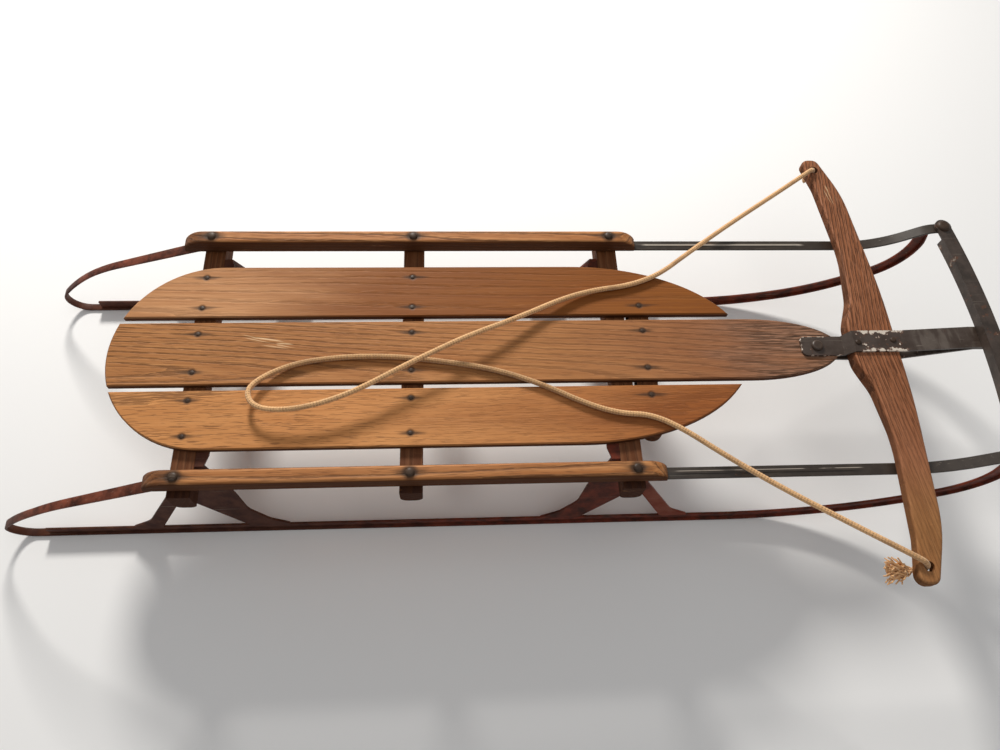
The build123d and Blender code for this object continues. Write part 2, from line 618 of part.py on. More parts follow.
def rope():
    """The pull rope from knot to knot: straight runs joined by tangent arcs."""
    hole = along(PIVOT) + ROPE_HOLE_AHEAD
    route = [(along(s), y, z) for s, y, z in ROPE_FROM_LEFT_HOLE]
    points = [
        Vector(hole, ROPE_HOLE_OFFSET, KNOT_TOP),
        *[Vector(*point) for point in route],
        Vector(hole, -ROPE_HOLE_OFFSET, KNOT_TOP),
    ]
    radii = []
    for before, corner, after in zip(points, points[1:], points[2:]):
        run_in, run_out = corner - before, after - corner
        turn = run_in.get_angle(run_out)
        radii.append(0.45 * min(run_in.length, run_out.length) / tan(radians(turn / 2)))
    path = FilletPolyline(*points, radius=radii)
    section = Plane(origin=path @ 0, z_dir=path % 0) * Circle(ROPE_DIAMETER / 2)
    tube = sweep(section, path=path)
    ideal = path.length * 3.141592653589793 * (ROPE_DIAMETER / 2) ** 2
    print("rope length", round(path.length, 1), "volume ratio", round(tube.volume / ideal, 4))
    print("rope radii", [round(radius) for radius in radii])
    return tube


def knot(sign):
    """The knot that holds a rope end under the steering bar."""
    x, y = along(PIVOT) + ROPE_HOLE_AHEAD, sign * ROPE_HOLE_OFFSET
    barrel = upright(x, y, KNOT_TOP - KNOT_HEIGHT, KNOT_TOP, KNOT_RADIUS)
    return fillet(barrel.edges(), KNOT_RADIUS / 2 - FIT_GAP)


def tuft():
    """The frayed rope end behind the right knot."""
    x = along(PIVOT) + ROPE_HOLE_AHEAD - KNOT_RADIUS - FIT_GAP
    cone = Cone(TUFT_ROOT_RADIUS, TUFT_TIP_RADIUS, TUFT_LENGTH)
    place = Pos(x - TUFT_LENGTH / 2, -ROPE_HOLE_OFFSET, KNOT_TOP - KNOT_HEIGHT / 2)
    return place * Rot(0, -90, 0) * cone


def all_parts():
    """Every piece by its node name."""
    parts = dict(deck_boards())
    parts["bench_rear"] = bench(REAR_BENCH, KNEE_BENCH_DEPTH)
    parts["bench_middle"] = bench(MIDDLE_BENCH, MIDDLE_BENCH_DEPTH)
    parts["bench_front"] = bench(FRONT_BENCH, KNEE_BENCH_DEPTH)
    parts["deck_cleat_front"] = deck_cleat()
    for side, sign in SIDES:
        parts["side_rail_" + side] = side_rail(sign)
        parts["side_bar_" + side], parts["side_bar_front_" + side] = side_bars(sign)
        parts["runner_" + side], parts["runner_front_" + side] = runners(sign)
        parts["knee_rear_" + side] = knee(REAR_BENCH, 1, sign)
        parts["knee_front_" + side] = knee(FRONT_BENCH, -1, sign)
        parts["rope_knot_" + side] = knot(sign)
    parts["steering_bar"] = steering_bar()
    parts["strap_upper"] = strap(DECK_TOP, STEERING_TOP, BUMPER_BOTTOM - FIT_GAP - STRAP_THICKNESS)
    parts["strap_lower"] = strap(
        DECK_BOTTOM - STRAP_THICKNESS,
        STEERING_BOTTOM - STRAP_THICKNESS,
        BUMPER_BOTTOM - FIT_GAP - 2 * STRAP_THICKNESS,
    )
    parts["pivot_bolt"] = pivot_bolt()
    parts["front_bumper"] = bumper()
    parts["rope"] = rope()
    parts["rope_tuft"] = tuft()
    return parts


def main():
    """Write each piece to its own file."""
    os.makedirs("parts", exist_ok=True)
    for name, piece in all_parts().items():
        export_step(piece, os.path.join("parts", name + ".step"))


if __name__ == "__main__":
    main()
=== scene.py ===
"""Steerable wooden sled: worn oiled boards, painted spring-steel runners and a cotton pull rope.

Sizes are in metres. X runs forward, Y to the sled's left and Z up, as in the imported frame. A
station is a distance forward from the tip of the rear curl.
"""
from math import ceil, cos, pi, radians, sin

import bmesh
import bpy
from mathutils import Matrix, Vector


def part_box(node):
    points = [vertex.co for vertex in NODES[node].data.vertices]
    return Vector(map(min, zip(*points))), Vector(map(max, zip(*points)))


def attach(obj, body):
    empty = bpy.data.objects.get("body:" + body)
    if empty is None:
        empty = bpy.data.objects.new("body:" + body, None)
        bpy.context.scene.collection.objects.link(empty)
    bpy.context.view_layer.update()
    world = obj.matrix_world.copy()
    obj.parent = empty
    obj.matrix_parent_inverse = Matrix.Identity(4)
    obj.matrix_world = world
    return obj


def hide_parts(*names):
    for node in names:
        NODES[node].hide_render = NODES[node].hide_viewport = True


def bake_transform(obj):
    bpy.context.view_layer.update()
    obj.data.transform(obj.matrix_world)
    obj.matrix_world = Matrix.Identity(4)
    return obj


bl_info = {
    "name": "Steerable wooden sled",
    "version": (1, 0, 0),
    "blender": (4, 5, 0),
    "location": "View3D > Sidebar > Sled",
    "description": "Builds the boards, runners, fittings and rope of a steerable sled",
    "category": "Object",
}

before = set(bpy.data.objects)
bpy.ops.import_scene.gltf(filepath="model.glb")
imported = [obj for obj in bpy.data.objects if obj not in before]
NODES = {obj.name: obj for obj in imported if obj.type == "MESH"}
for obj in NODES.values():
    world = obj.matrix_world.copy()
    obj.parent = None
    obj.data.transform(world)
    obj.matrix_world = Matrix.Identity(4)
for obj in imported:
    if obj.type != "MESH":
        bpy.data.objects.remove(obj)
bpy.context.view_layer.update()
SIDES = (("left", 1), ("right", -1))

# Stations and heights shared with the solids
LENGTH = 1.259
FLEX_HINGE = 0.8935
BUMPER_EYE = 1.236
DECK_TOP = 0.1696
BAR_BOTTOM = 0.1616
RAIL_BOTTOM = 0.1646
RAIL_TOP = 0.1856
KNOT_TOP = 0.1702
RAIL_OFFSET = 0.165
RUNNER_OFFSET = 0.172
HOLE_STATION = 1.093
HOLE_OFFSET = 0.286

NAIL_STATIONS = (0.2508, 0.5151, 0.8109)
NAIL_OFFSETS = (0.0267, 0.0645, 0.1103)
RAIL_BOLT_STATIONS = (0.25425, 0.5161, 0.7779)
STRAP_RIVETS = ((1.0836, -0.002), (1.1302, 0.001))
STRAP_TOP = 0.185
STRAP_BOTTOM = 0.161

# The runner's bends, its radii and its turns in degrees
CURL_RADIUS, CURL_TURN = 0.027, 132.0
BACK_RADIUS, TONGUE_SLOPE = 0.270, 21.5
TONGUE_RADIUS, TONGUE_LENGTH = 0.050, 0.046
TONGUE_END = 0.2675
LEAN_IN, LEAN_FOOT = 0.007, 0.04
LEAN_START, LEAN_RUN = 0.060, 0.16525
RIB_START = 0.034
BAR_MEETING = 1.15
FRONT_LEGS = [(0.0205, 0), (0.586, 16.0), (0.350, 23.0), (0.092, 64.0)]

# The side bar's bends behind the bumper
BAR_RISE = 0.0387
BAR_RISE_BEHIND_BUMPER = 0.120
BAR_SLOPE = 32.0
BAR_LOWER_BEND, BAR_UPPER_BEND = 0.145, 0.040
BAR_REAR = 0.4951
BEAD_START, BEAD_END, BEAD_RUN_OUT = 0.815, 1.06, 0.012

# Radii that the heads' patterns are turned to, before they are set to size
NAIL_PATTERN, BOLT_PATTERN, RIVET_PATTERN = 0.0027, 0.0062, 0.0040
HEAD_DOME = [(1.0, -0.2), (1.0, 0.06), (0.93, 0.24), (0.76, 0.40), (0.5, 0.50), (0.2, 0.54)]
NAIL_PROFILE = [(0.0026, -0.0015), (0.0027, 0.0), (0.0024, 0.0005), (0.0012, 0.0008)]
NUT_PROFILE = [(0.0055, 0.0), (0.0058, 0.0006), (0.0058, 0.0040), (0.0050, 0.0046)]

CAMERA_PLACE = (-0.0651, -0.4556, 1.0041)
CAMERA_TURNS = (26.82069, -2.97156, -2.25772)

# The rope's route, the same points as the solid's: station, Y and height
ROPE_ROUTE = [
    (1.093, 0.286, 0.1878), (1.070, 0.270, 0.1870), (1.024, 0.240, 0.1815), (0.951, 0.192, 0.1750),
    (0.884, 0.1425, 0.1738), (0.843, 0.1105, 0.1735), (0.800, 0.093, 0.1735), (0.752, 0.086, 0.1740),
    (0.708, 0.071, 0.1765), (0.652, 0.0405, 0.1830), (0.586, 0.010, 0.1900), (0.542, -0.014, 0.1925),
    (0.500, -0.037, 0.1925), (0.456, -0.062, 0.1910), (0.416, -0.078, 0.1895), (0.378, -0.086, 0.1880),
    (0.347, -0.085, 0.1865), (0.329, -0.076, 0.1850), (0.323, -0.060, 0.1830), (0.329, -0.0465, 0.1795),
    (0.348, -0.0305, 0.1755), (0.381, -0.016, 0.1734), (0.436, -0.009, 0.1734), (0.498, -0.0095, 0.1734),
    (0.560, -0.018, 0.1734), (0.619, -0.029, 0.1734), (0.675, -0.050, 0.1734), (0.729, -0.078, 0.1734),
    (0.768, -0.091, 0.1734), (0.806, -0.093, 0.1734), (0.842, -0.112, 0.1736), (0.885, -0.1455, 0.1740),
    (0.948, -0.190, 0.1748), (1.024, -0.240, 0.1810), (1.070, -0.271, 0.1870), (1.093, -0.286, 0.1878),
]


def along(station):
    """The X of a station."""
    return station - LENGTH / 2


def share_of(value, start, run):
    """How far a value is along a run from its start, from 0 to 1."""
    return min(1.0, max(0.0, (value - start) / run))


# Where the paint turns red and where the straps end, along X
BROWN_TO_RED = (along(0.35), along(0.62))
STRAP_NOSE = (along(1.0165), along(1.0148))

# Crossings of the rope's braid round it, and the turn from one yarn of the frayed end to the next
STRANDS = 4.0
YARN_TURN, YARN_RADIUS = 2.39996, 0.00115

# The least angle between faces that stays sharp
SHARP = radians(38)


# Settings


def tint(name, description, default):
    """A colour setting, linear."""
    return bpy.props.FloatVectorProperty(
        name=name, description=description, default=default, size=3, min=0.0, max=1.0, subtype="COLOR"
    )


def span(name, description, default):
    """A length setting."""
    return bpy.props.FloatProperty(
        name=name, description=description, default=default, min=0.0, unit="LENGTH", precision=5
    )


def amount(name, description, default, largest=1.0):
    """A plain number setting."""
    return bpy.props.FloatProperty(
        name=name, description=description, default=default, min=0.0, max=largest
    )


class SledWood(bpy.types.PropertyGroup):
    left_rear: tint("Left board, rear", "Light wood of the left board at its rear", (0.59, 0.300, 0.135))
    left_front: tint("Left board, front", "Light wood of the left board's front half", (0.29, 0.098, 0.016))
    center_rear: tint("Centre board, rear", "Light wood of the centre board's rear", (0.50, 0.228, 0.080))
    center_front: tint("Centre board, front", "Light wood of the centre board's front", (0.37, 0.160, 0.072))
    right_rear: tint("Right board, rear", "Light wood of the right board at its rear", (0.68, 0.318, 0.112))
    right_front: tint("Right board, front", "Light wood of the right board's front", (0.35, 0.115, 0.028))
    band: tint("Band", "What the darker bands keep of the light wood", (0.56, 0.44, 0.32))
    # Pore: also the colour of the painted shade on steep wood faces and at the right-hand bench ends.
    pore_and_shade: tint("Pore", "Open pores and dark end grain", (0.060, 0.017, 0.004))
    stain: tint("Iron stain", "Streaks beside the nails", (0.030, 0.016, 0.009))
    weathered: tint("Weathered", "Grey-brown of the worn nose", (0.50, 0.335, 0.250))
    scratched: tint("Scratched", "Fresh light scratches", (0.82, 0.56, 0.32))
    rail: tint("Rail", "Light wood of the side rails", (0.58, 0.268, 0.102))
    rail_end: tint("Rail end", "Darker wood of the rails' rear ends", (0.26, 0.112, 0.045))
    bench: tint("Bench", "Darker wood of the benches", (0.215, 0.086, 0.034))
    steering: tint("Steering bar", "Reddish wood of the steering bar", (0.40, 0.170, 0.085))
    steering_tip: tint("Steering bar tip", "Olive-brown of the bar's right end", (0.40, 0.190, 0.072))


class SledMetal(bpy.types.PropertyGroup):
    red: tint("Old red", "Paint of the runners and knees towards the front", (0.165, 0.026, 0.009))
    brown: tint("Brown red", "Paint of the runners and knees at the rear", (0.090, 0.028, 0.013))
    red_dark: tint("Dirty red", "Runner paint where it is dirty", (0.040, 0.010, 0.005))
    red_faded: tint("Faded red", "Paint worn thin on the rear curls and front knees", (0.22, 0.058, 0.030))
    black: tint("Side bar", "Side bar paint", (0.024, 0.016, 0.011))
    pitch: tint("Side bar dirt", "Dirt on the side bars", (0.040, 0.029, 0.021))
    grey: tint("Strap", "Strap and bumper steel", (0.060, 0.042, 0.033))
    bare: tint("Bare steel", "Steel where the paint is rubbed through", (0.32, 0.28, 0.23))
    # Chip: also the colour of the pale line on the side bars' bead, which is partly a painted highlight.
    chip: tint("Chipped paint", "Pale old paint that is left on the straps", (0.60, 0.53, 0.45))
    rust: tint("Rust", "Rust in the scratches and edges", (0.12, 0.040, 0.015))
    nail: tint("Nail", "Nail and bolt heads", (0.032, 0.018, 0.011))
    nail_dirt: tint("Nail dirt", "Dirt and old rust on the heads", (0.066, 0.041, 0.027))
    flange_width: span("Flange width", "Width of a runner on the ground", 0.010)
    flange_thickness: span("Flange thickness", "Thickness of a runner's flange", 0.003)
    runner_height: span("Runner height", "Height of a runner's section", 0.017)
    web_thickness: span("Web thickness", "Thickness of a runner's web", 0.003)
    bar_width: span("Side bar width", "Width of a side bar", 0.0143)
    bar_thickness: span("Side bar thickness", "Thickness of a side bar", 0.003)
    bead_height: span("Bead height", "Height of the pressed bead on a side bar", 0.0009)


class SledRope(bpy.types.PropertyGroup):
    cotton: tint("Cotton", "Clean side of the cotton", (0.72, 0.415, 0.185))
    # Painted shade on the run of rope that lies on the deck, under the raised strand.
    shaded_run: tint("Trodden", "Browner run of the rope that lies on the deck", (0.36, 0.190, 0.070))
    # Dirt, and painted shade in the braid's hollows.
    soil_and_shade: tint("Soiled", "Soiled hollows of the rope", (0.24, 0.115, 0.048))
    fuzz: tint("Fuzz", "Loose fibres on the rope", (0.80, 0.58, 0.36))
    diameter: span("Diameter", "Diameter of the rope", 0.0068)
    pick: span("Pick", "Spacing of the braid's crossings along the rope", 0.0070)
    fibres: bpy.props.IntProperty(name="Fibres", description="Yarns in the frayed end", default=84, min=8)


class SledHardware(bpy.types.PropertyGroup):
    nail: span("Nail head", "Radius of a deck nail's head", 0.0027)
    rail_bolt: span("Rail bolt", "Radius of a rail bolt's head", 0.0054)
    rivet: span("Rivet", "Radius of a rivet on the straps", 0.0040)
    eye_bolt: span("Bumper bolt", "Radius of a bumper bolt's head", 0.0088)


class SledStage(bpy.types.PropertyGroup):
    lens: bpy.props.FloatProperty(name="Lens", description="Focal length in millimetres", default=27.255)
    floor: tint("Floor", "Colour of the floor", (0.86, 0.86, 0.86))
    key: amount("Key", "Strength of the low key light", 84.0, 1000.0)
    fill: amount("Fill", "Strength of the overhead softbox", 10.0, 1000.0)
    sky: amount("Sky", "Strength of the even surroundings", 0.34, 10.0)


SETTINGS = {
    "sled_wood": SledWood,
    "sled_metal": SledMetal,
    "sled_rope": SledRope,
    "sled_hardware": SledHardware,
    "sled_stage": SledStage,
}


# Node helpers


class Nodes:
    """A node tree with short ways to add nodes and link them."""

    def __init__(self, tree):
        self.tree = tree

    def feed(self, socket, value):
        """Links another socket to an input, or sets its value."""
        if isinstance(value, bpy.types.NodeSocket):
            self.tree.links.new(value, socket)
        else:
            socket.default_value = value

    def put(self, kind, inputs=None, **settings):
        """A new node with its settings and its inputs."""
        made = self.tree.nodes.new(kind)
        for name, value in settings.items():
            setattr(made, name, value)
        for key, value in (inputs or {}).items():
            self.feed(made.inputs[key], value)
        return made

    def placed(self, name, inputs):
        """A group's outputs, placed with this material's own values."""
        return self.put("ShaderNodeGroup", inputs, node_tree=bpy.data.node_groups[name]).outputs

    def give(self, **values):
        """A group's outputs, made and linked."""
        for name in values:
            self.tree.interface.new_socket(name, in_out="OUTPUT", socket_type="NodeSocketFloat")
        result = self.tree.nodes.new("NodeGroupOutput").inputs
        for name, value in values.items():
            self.tree.links.new(value, result[name])

    def calc(self, operation, *values, clamp=False):
        """The result of a math node."""
        inputs = dict(enumerate(values))
        return self.put("ShaderNodeMath", inputs, operation=operation, use_clamp=clamp).outputs[0]

    def plus(self, first, second, clamp=False):
        """A sum, kept from 0 to 1 where it is clamped."""
        return self.calc("ADD", first, second, clamp=clamp)

    def minus(self, first, second):
        """A difference."""
        return self.calc("SUBTRACT", first, second)

    def times(self, first, *others):
        """A product of two or more values."""
        for other in others:
            first = self.calc("MULTIPLY", first, other)
        return first

    def over(self, first, second):
        """A quotient."""
        return self.calc("DIVIDE", first, second)

    def size_of(self, value):
        """A value without its sign."""
        return self.calc("ABSOLUTE", value)

    def most(self, first, second):
        """The larger of two values."""
        return self.calc("MAXIMUM", first, second)

    def distance(self, x, y):
        """The length of a line that runs x one way and y the other."""
        return self.calc("SQRT", self.plus(self.times(x, x), self.times(y, y)))

    def ramp(self, value, low, high, out_low=0.0, out_high=1.0):
        """A smooth step of a value from one range to another."""
        inputs = {"Value": value, 1: low, 2: high, 3: out_low, 4: out_high}
        return self.put("ShaderNodeMapRange", inputs, interpolation_type="SMOOTHSTEP").outputs["Result"]

    def mix(self, factor, first, second, blend="MIX"):
        """A mix of two colours."""
        made = self.put("ShaderNodeMix", {}, data_type="RGBA", blend_type=blend)
        self.feed(made.inputs[0], factor)
        for socket, colour in ((made.inputs[6], first), (made.inputs[7], second)):
            is_socket = isinstance(colour, bpy.types.NodeSocket)
            self.feed(socket, colour if is_socket else (*colour[:3], 1.0))
        return made.outputs[2]

    def move(self, operation, first, second):
        """The result of a vector math node."""
        made = self.put("ShaderNodeVectorMath", {0: first, 1: second}, operation=operation)
        return made.outputs["Vector"]

    def scaled(self, vector, scale):
        """A vector times a number."""
        return self.put("ShaderNodeVectorMath", {0: vector, "Scale": scale}, operation="SCALE").outputs[0]

    def split(self, vector):
        """A vector's X, Y and Z."""
        return self.put("ShaderNodeSeparateXYZ", {0: vector}).outputs

    def merged(self, x, y, z):
        """A vector of X, Y and Z."""
        return self.put("ShaderNodeCombineXYZ", {0: x, 1: y, 2: z}).outputs[0]

    def seen_from(self, vector, place, turn):
        """A vector measured from a place and turned about Z."""
        inputs = {"Vector": vector, "Location": place, "Rotation": (0.0, 0.0, turn)}
        return self.put("ShaderNodeMapping", inputs, vector_type="TEXTURE").outputs[0]

    def stretched(self, vector, scale, offset=0.0):
        """A vector scaled apart along its axes and shifted."""
        return self.move("ADD", self.move("MULTIPLY", vector, scale), (offset, offset * 1.7, offset * 2.3))

    def noise(self, vector, scale, detail=2.0, roughness=0.5):
        """The height of a noise texture."""
        inputs = {"Vector": vector, "Scale": scale, "Detail": detail, "Roughness": roughness}
        return self.put("ShaderNodeTexNoise", inputs).outputs["Fac"]

    def streaks(self, vector, scale, offset=0.0, detail=2.0, roughness=0.5):
        """Noise drawn out along one axis by a scale of three."""
        return self.noise(self.stretched(vector, scale, offset), 1.0, detail, roughness)


def group(name, inputs):
    """A new shader node group of a vector and numbers, and its inputs."""
    tree = bpy.data.node_groups.new(name, "ShaderNodeTree")
    tree.interface.new_socket("Vector", in_out="INPUT", socket_type="NodeSocketVector")
    for socket, default in inputs.items():
        made = tree.interface.new_socket(socket, in_out="INPUT", socket_type="NodeSocketFloat")
        made.default_value = default
    return Nodes(tree), tree.nodes.new("NodeGroupInput").outputs


def grain_group():
    """Growth rings cut lengthwise, with open pores in the early wood and fine fibre."""
    nodes, given = group("sled_grain", {
        "Seed": 0.0, "Rings": 260.0, "Depth": 0.05, "Lean": 0.03, "Wander": 0.012, "Pore share": 0.5,
        "Loose": 0.5,
    })
    seed = given["Seed"]
    shift = nodes.merged(nodes.times(seed, 3.1), nodes.times(seed, 7.7), seed)
    shifted = nodes.move("ADD", given["Vector"], shift)
    inputs = {"Vector": nodes.stretched(shifted, (1.0, 5.0, 5.0)), "Scale": 2.2, "Detail": 2.0}
    wander = nodes.put("ShaderNodeTexNoise", inputs).outputs["Color"]
    drift = nodes.scaled(nodes.move("SUBTRACT", wander, (0.5, 0.5, 0.5)), nodes.times(given["Wander"], 2.0))
    x, y, z = nodes.split(nodes.move("ADD", given["Vector"], drift))
    deep = nodes.plus(nodes.plus(z, given["Depth"]), nodes.times(x, given["Lean"]))
    ragged = nodes.streaks(shifted, (14.0, 160.0, 160.0))
    rings = nodes.plus(nodes.times(nodes.distance(y, deep), given["Rings"]), nodes.times(ragged, 0.35))
    share = nodes.calc("FRACT", rings)
    late = nodes.times(nodes.ramp(share, 0.15, 0.9), nodes.ramp(share, 1.0, 0.93))
    early = nodes.minus(1.0, nodes.ramp(share, 0.14, 0.40))
    line = nodes.minus(1.0, nodes.ramp(share, 0.08, 0.26))
    vessels = nodes.streaks(shifted, (48.0, 1150.0, 1150.0), 4.0, 1.0)
    in_rows = nodes.times(nodes.ramp(vessels, 0.40, 0.54), early)
    loose = nodes.streaks(shifted, (50.0, 1150.0, 1150.0), 9.0, 1.0)
    scattered = nodes.times(nodes.ramp(loose, 0.57, 0.68), given["Loose"])
    share = nodes.times(given["Pore share"], 2.0)
    pores = nodes.calc("MULTIPLY", nodes.most(in_rows, scattered), share, clamp=True)
    fibre = nodes.streaks(shifted, (9.0, 520.0, 520.0), 2.0, 3.0, 0.6)
    blotch = nodes.streaks(shifted, (4.0, 16.0, 16.0), 6.0, 3.0, 0.55)
    raised = nodes.plus(nodes.times(late, 0.25), nodes.times(fibre, 0.3))
    height = nodes.minus(nodes.minus(raised, nodes.times(line, 0.5)), pores)
    nodes.give(Tone=late, Line=line, Pores=pores, Fibre=fibre, Blotch=blotch, Height=height)


def head_stain_group():
    """Dark streaks along the grain and a dark ring at heads in three rows and two lines."""
    nodes, given = group("sled_head_stain", {
        "Row A": 0.0, "Row B": 0.0, "Row C": 0.0, "Line A": 0.0, "Line B": 0.0, "Front line": 0.0,
        "Reach": 0.011, "Radius": 0.0030,
    })
    x, y, _ = nodes.split(given["Vector"])

    def gap(value, *names):
        gaps = [nodes.size_of(nodes.minus(value, given[name])) for name in names]
        return gaps[0] if len(gaps) == 1 else nodes.calc("MINIMUM", *gaps)

    jitter = nodes.streaks(given["Vector"], (26.0, 380.0, 380.0))
    reach = nodes.plus(given["Reach"], nodes.times(nodes.times(jitter, jitter), 0.045))
    width = nodes.plus(given["Radius"], 0.0006)
    rear = (gap(x, "Row A", "Row B"), gap(y, "Line A", "Line B"))
    front = (gap(x, "Row C"), gap(y, "Line A", "Front line"))
    streaks, rings = [], []
    for gap_x, gap_y in (rear, front):
        oval = nodes.distance(nodes.over(gap_x, reach), nodes.over(gap_y, width))
        streaks.append(nodes.ramp(oval, 1.15, 0.25))
        round_it = nodes.over(nodes.distance(gap_x, gap_y), given["Radius"])
        rings.append(nodes.ramp(round_it, 2.1, 1.0))
    nodes.give(Streak=nodes.most(*streaks), Ring=nodes.most(*rings))


def scratches_group():
    """Fine straight scratches that cross at small angles inside an oval."""
    nodes, given = group("sled_scratches", {"Length": 0.02, "Width": 0.006})
    x, y, _ = nodes.split(given["Vector"])
    oval = nodes.distance(nodes.over(x, given["Length"]), nodes.over(y, given["Width"]))
    lines = []
    for turn, offset in ((0.0, 3.0), (0.10, 8.0)):
        turned = nodes.seen_from(given["Vector"], (0.0, 0.0, 0.0), turn)
        lines.append(nodes.ramp(nodes.streaks(turned, (17.0, 440.0, 300.0), offset, 0.0), 0.64, 0.70))
    nodes.give(Scratch=nodes.times(nodes.most(*lines), nodes.ramp(oval, 1.0, 0.6)))


def chips_group():
    """Paint that is rubbed and chipped: a mask of bare metal, rust round it and scratches."""
    nodes, given = group("sled_chips", {"Amount": 0.5, "Size": 90.0, "Seed": 0.0})
    shifted = nodes.move("ADD", given["Vector"], nodes.merged(given["Seed"], given["Seed"], 0.0))
    level = nodes.minus(0.78, nodes.times(given["Amount"], 0.36))
    above = nodes.minus(nodes.noise(shifted, given["Size"], 5.0, 0.68), level)
    bare = nodes.ramp(above, 0.0, 0.03)
    rust = nodes.ramp(above, -0.07, 0.0)
    scratch = nodes.ramp(nodes.streaks(shifted, (12.0, 900.0, 500.0)), 0.68, 0.74)
    dirt = nodes.noise(shifted, 52.0, 5.0, 0.66)
    height = nodes.minus(nodes.times(dirt, 0.2), bare)
    nodes.give(Bare=bare, Rust=rust, Scratch=scratch, Dirt=dirt, Height=height)


# Materials


def new_material(name):
    """A material with its nodes, its shader's inputs and Object coordinates."""
    material = bpy.data.materials.new(name)
    material.use_nodes = True
    nodes = Nodes(material.node_tree)
    shader = material.node_tree.nodes["Principled BSDF"].inputs
    return material, nodes, shader, nodes.put("ShaderNodeTexCoord").outputs["Object"]


def bumped(nodes, shader, height, distance, strength):
    """Feeds a height to the shader's normal."""
    inputs = {"Height": height, "Distance": distance, "Strength": strength}
    nodes.feed(shader["Normal"], nodes.put("ShaderNodeBump", inputs).outputs["Normal"])


def wood_material(
    name, light, seed, turn=0.0, center=(0.0, 0.0, 0.0), rings=250.0, depth=0.05, lean=0.03, wander=0.010,
    pores=0.45, loose=0.5, pore_depth=0.6, tone=0.5, line=0.2, blotch=0.30, flank_shade=0.72, relief=0.7, bend=0.0,
    calm=None, front=None, tip=None, heads=None, weathered_from=None, scratches=(),
):
    """Open-pored oiled wood whose grain runs along X, or along Y where it is turned."""
    wood = bpy.context.scene.sled_wood
    material, nodes, shader, where = new_material(name)
    mix, ramp, times = nodes.mix, nodes.ramp, nodes.times
    laid = nodes.seen_from(where, center, turn)
    if bend:
        x, y, z = nodes.split(laid)
        laid = nodes.merged(x, nodes.plus(y, times(nodes.size_of(x), bend)), z)
    grain = nodes.placed("sled_grain", {
        "Vector": laid, "Seed": seed, "Rings": rings, "Depth": depth, "Lean": lean, "Wander": wander,
        "Pore share": pores, "Loose": loose,
    })
    x, y, _ = nodes.split(where)
    run = y if turn > 1 else x
    contrast = 1.0
    if calm:
        start, end, left = calm
        contrast = ramp(run, start, end, 1.0, left)
    banded = nodes.plus(times(grain["Tone"], tone, contrast), times(ramp(grain["Fibre"], 0.3, 0.7), 0.42))
    patches = nodes.minus(grain["Blotch"], 0.5)
    if front:
        other, start, end = front
        light = mix(ramp(nodes.plus(x, times(patches, 0.3)), start, end), light, other)
    if tip:
        other, start, end = tip
        light = mix(ramp(run, start, end), light, other)
    dark = mix(1.0, light, wood.band, "MULTIPLY")
    colour = mix(banded, light, dark)
    colour = mix(times(grain["Line"], line, contrast), colour, wood.pore_and_shade)
    colour = mix(times(ramp(grain["Blotch"], 0.30, 0.70), blotch), colour, dark)
    colour = mix(times(grain["Pores"], pore_depth, contrast), colour, wood.pore_and_shade)
    height = grain["Height"]
    if heads:
        stain = nodes.placed("sled_head_stain", {"Vector": where, **heads})
        colour = mix(times(stain["Streak"], 0.72), colour, wood.stain)
        colour = mix(times(stain["Ring"], 0.80), colour, wood.stain)
        height = nodes.minus(height, times(stain["Ring"], 1.2))
    if weathered_from:
        uneven = nodes.plus(x, times(patches, 0.35))
        worn = ramp(uneven, weathered_from, weathered_from + 0.16)
        gaps = nodes.plus(banded, times(grain["Pores"], 0.5), clamp=True)
        colour = mix(times(worn, 0.62), colour, mix(gaps, wood.weathered, wood.pore_and_shade))
        grimy = ramp(uneven, weathered_from + 0.03, weathered_from + 0.12)
        colour = mix(times(grimy, 0.30), colour, wood.bench)
        long_splits = ramp(nodes.streaks(where, (16.0, 480.0, 480.0), seed, 1.0), 0.555, 0.580)
        short_splits = ramp(nodes.streaks(where, (46.0, 1050.0, 1050.0), seed + 5.0, 1.0), 0.57, 0.60)
        splits = times(nodes.most(long_splits, short_splits), worn)
        colour = mix(times(splits, 0.92), colour, wood.stain)
        height = nodes.minus(height, splits)
    # Steep faces are mixed towards the pore colour: painted shade on the wood's sides.
    upright = nodes.split(nodes.put("ShaderNodeNewGeometry").outputs["Normal"])[2]
    flank = ramp(nodes.size_of(upright), 0.86, 0.40)
    colour = mix(times(flank, flank_shade), colour, wood.pore_and_shade)
    scuff = ramp(nodes.streaks(where, (24.0, 260.0, 260.0), seed, 3.0), 0.68, 0.76)
    colour = mix(times(scuff, 0.30), colour, wood.rail)
    for place, angle, long, wide in scratches:
        there = nodes.seen_from(where, (*place, DECK_TOP), radians(angle))
        mark = nodes.placed("sled_scratches", {"Vector": there, "Length": long, "Width": wide})["Scratch"]
        colour = mix(times(mark, 0.7), colour, wood.scratched)
    rough = nodes.plus(0.44, times(grain["Fibre"], 0.22))
    nodes.feed(shader["Base Color"], colour)
    nodes.feed(shader["Roughness"], nodes.plus(rough, times(flank, 0.3), clamp=True))
    shader["Specular IOR Level"].default_value = 0.2
    bumped(nodes, shader, height, 0.0004, relief)
    return material


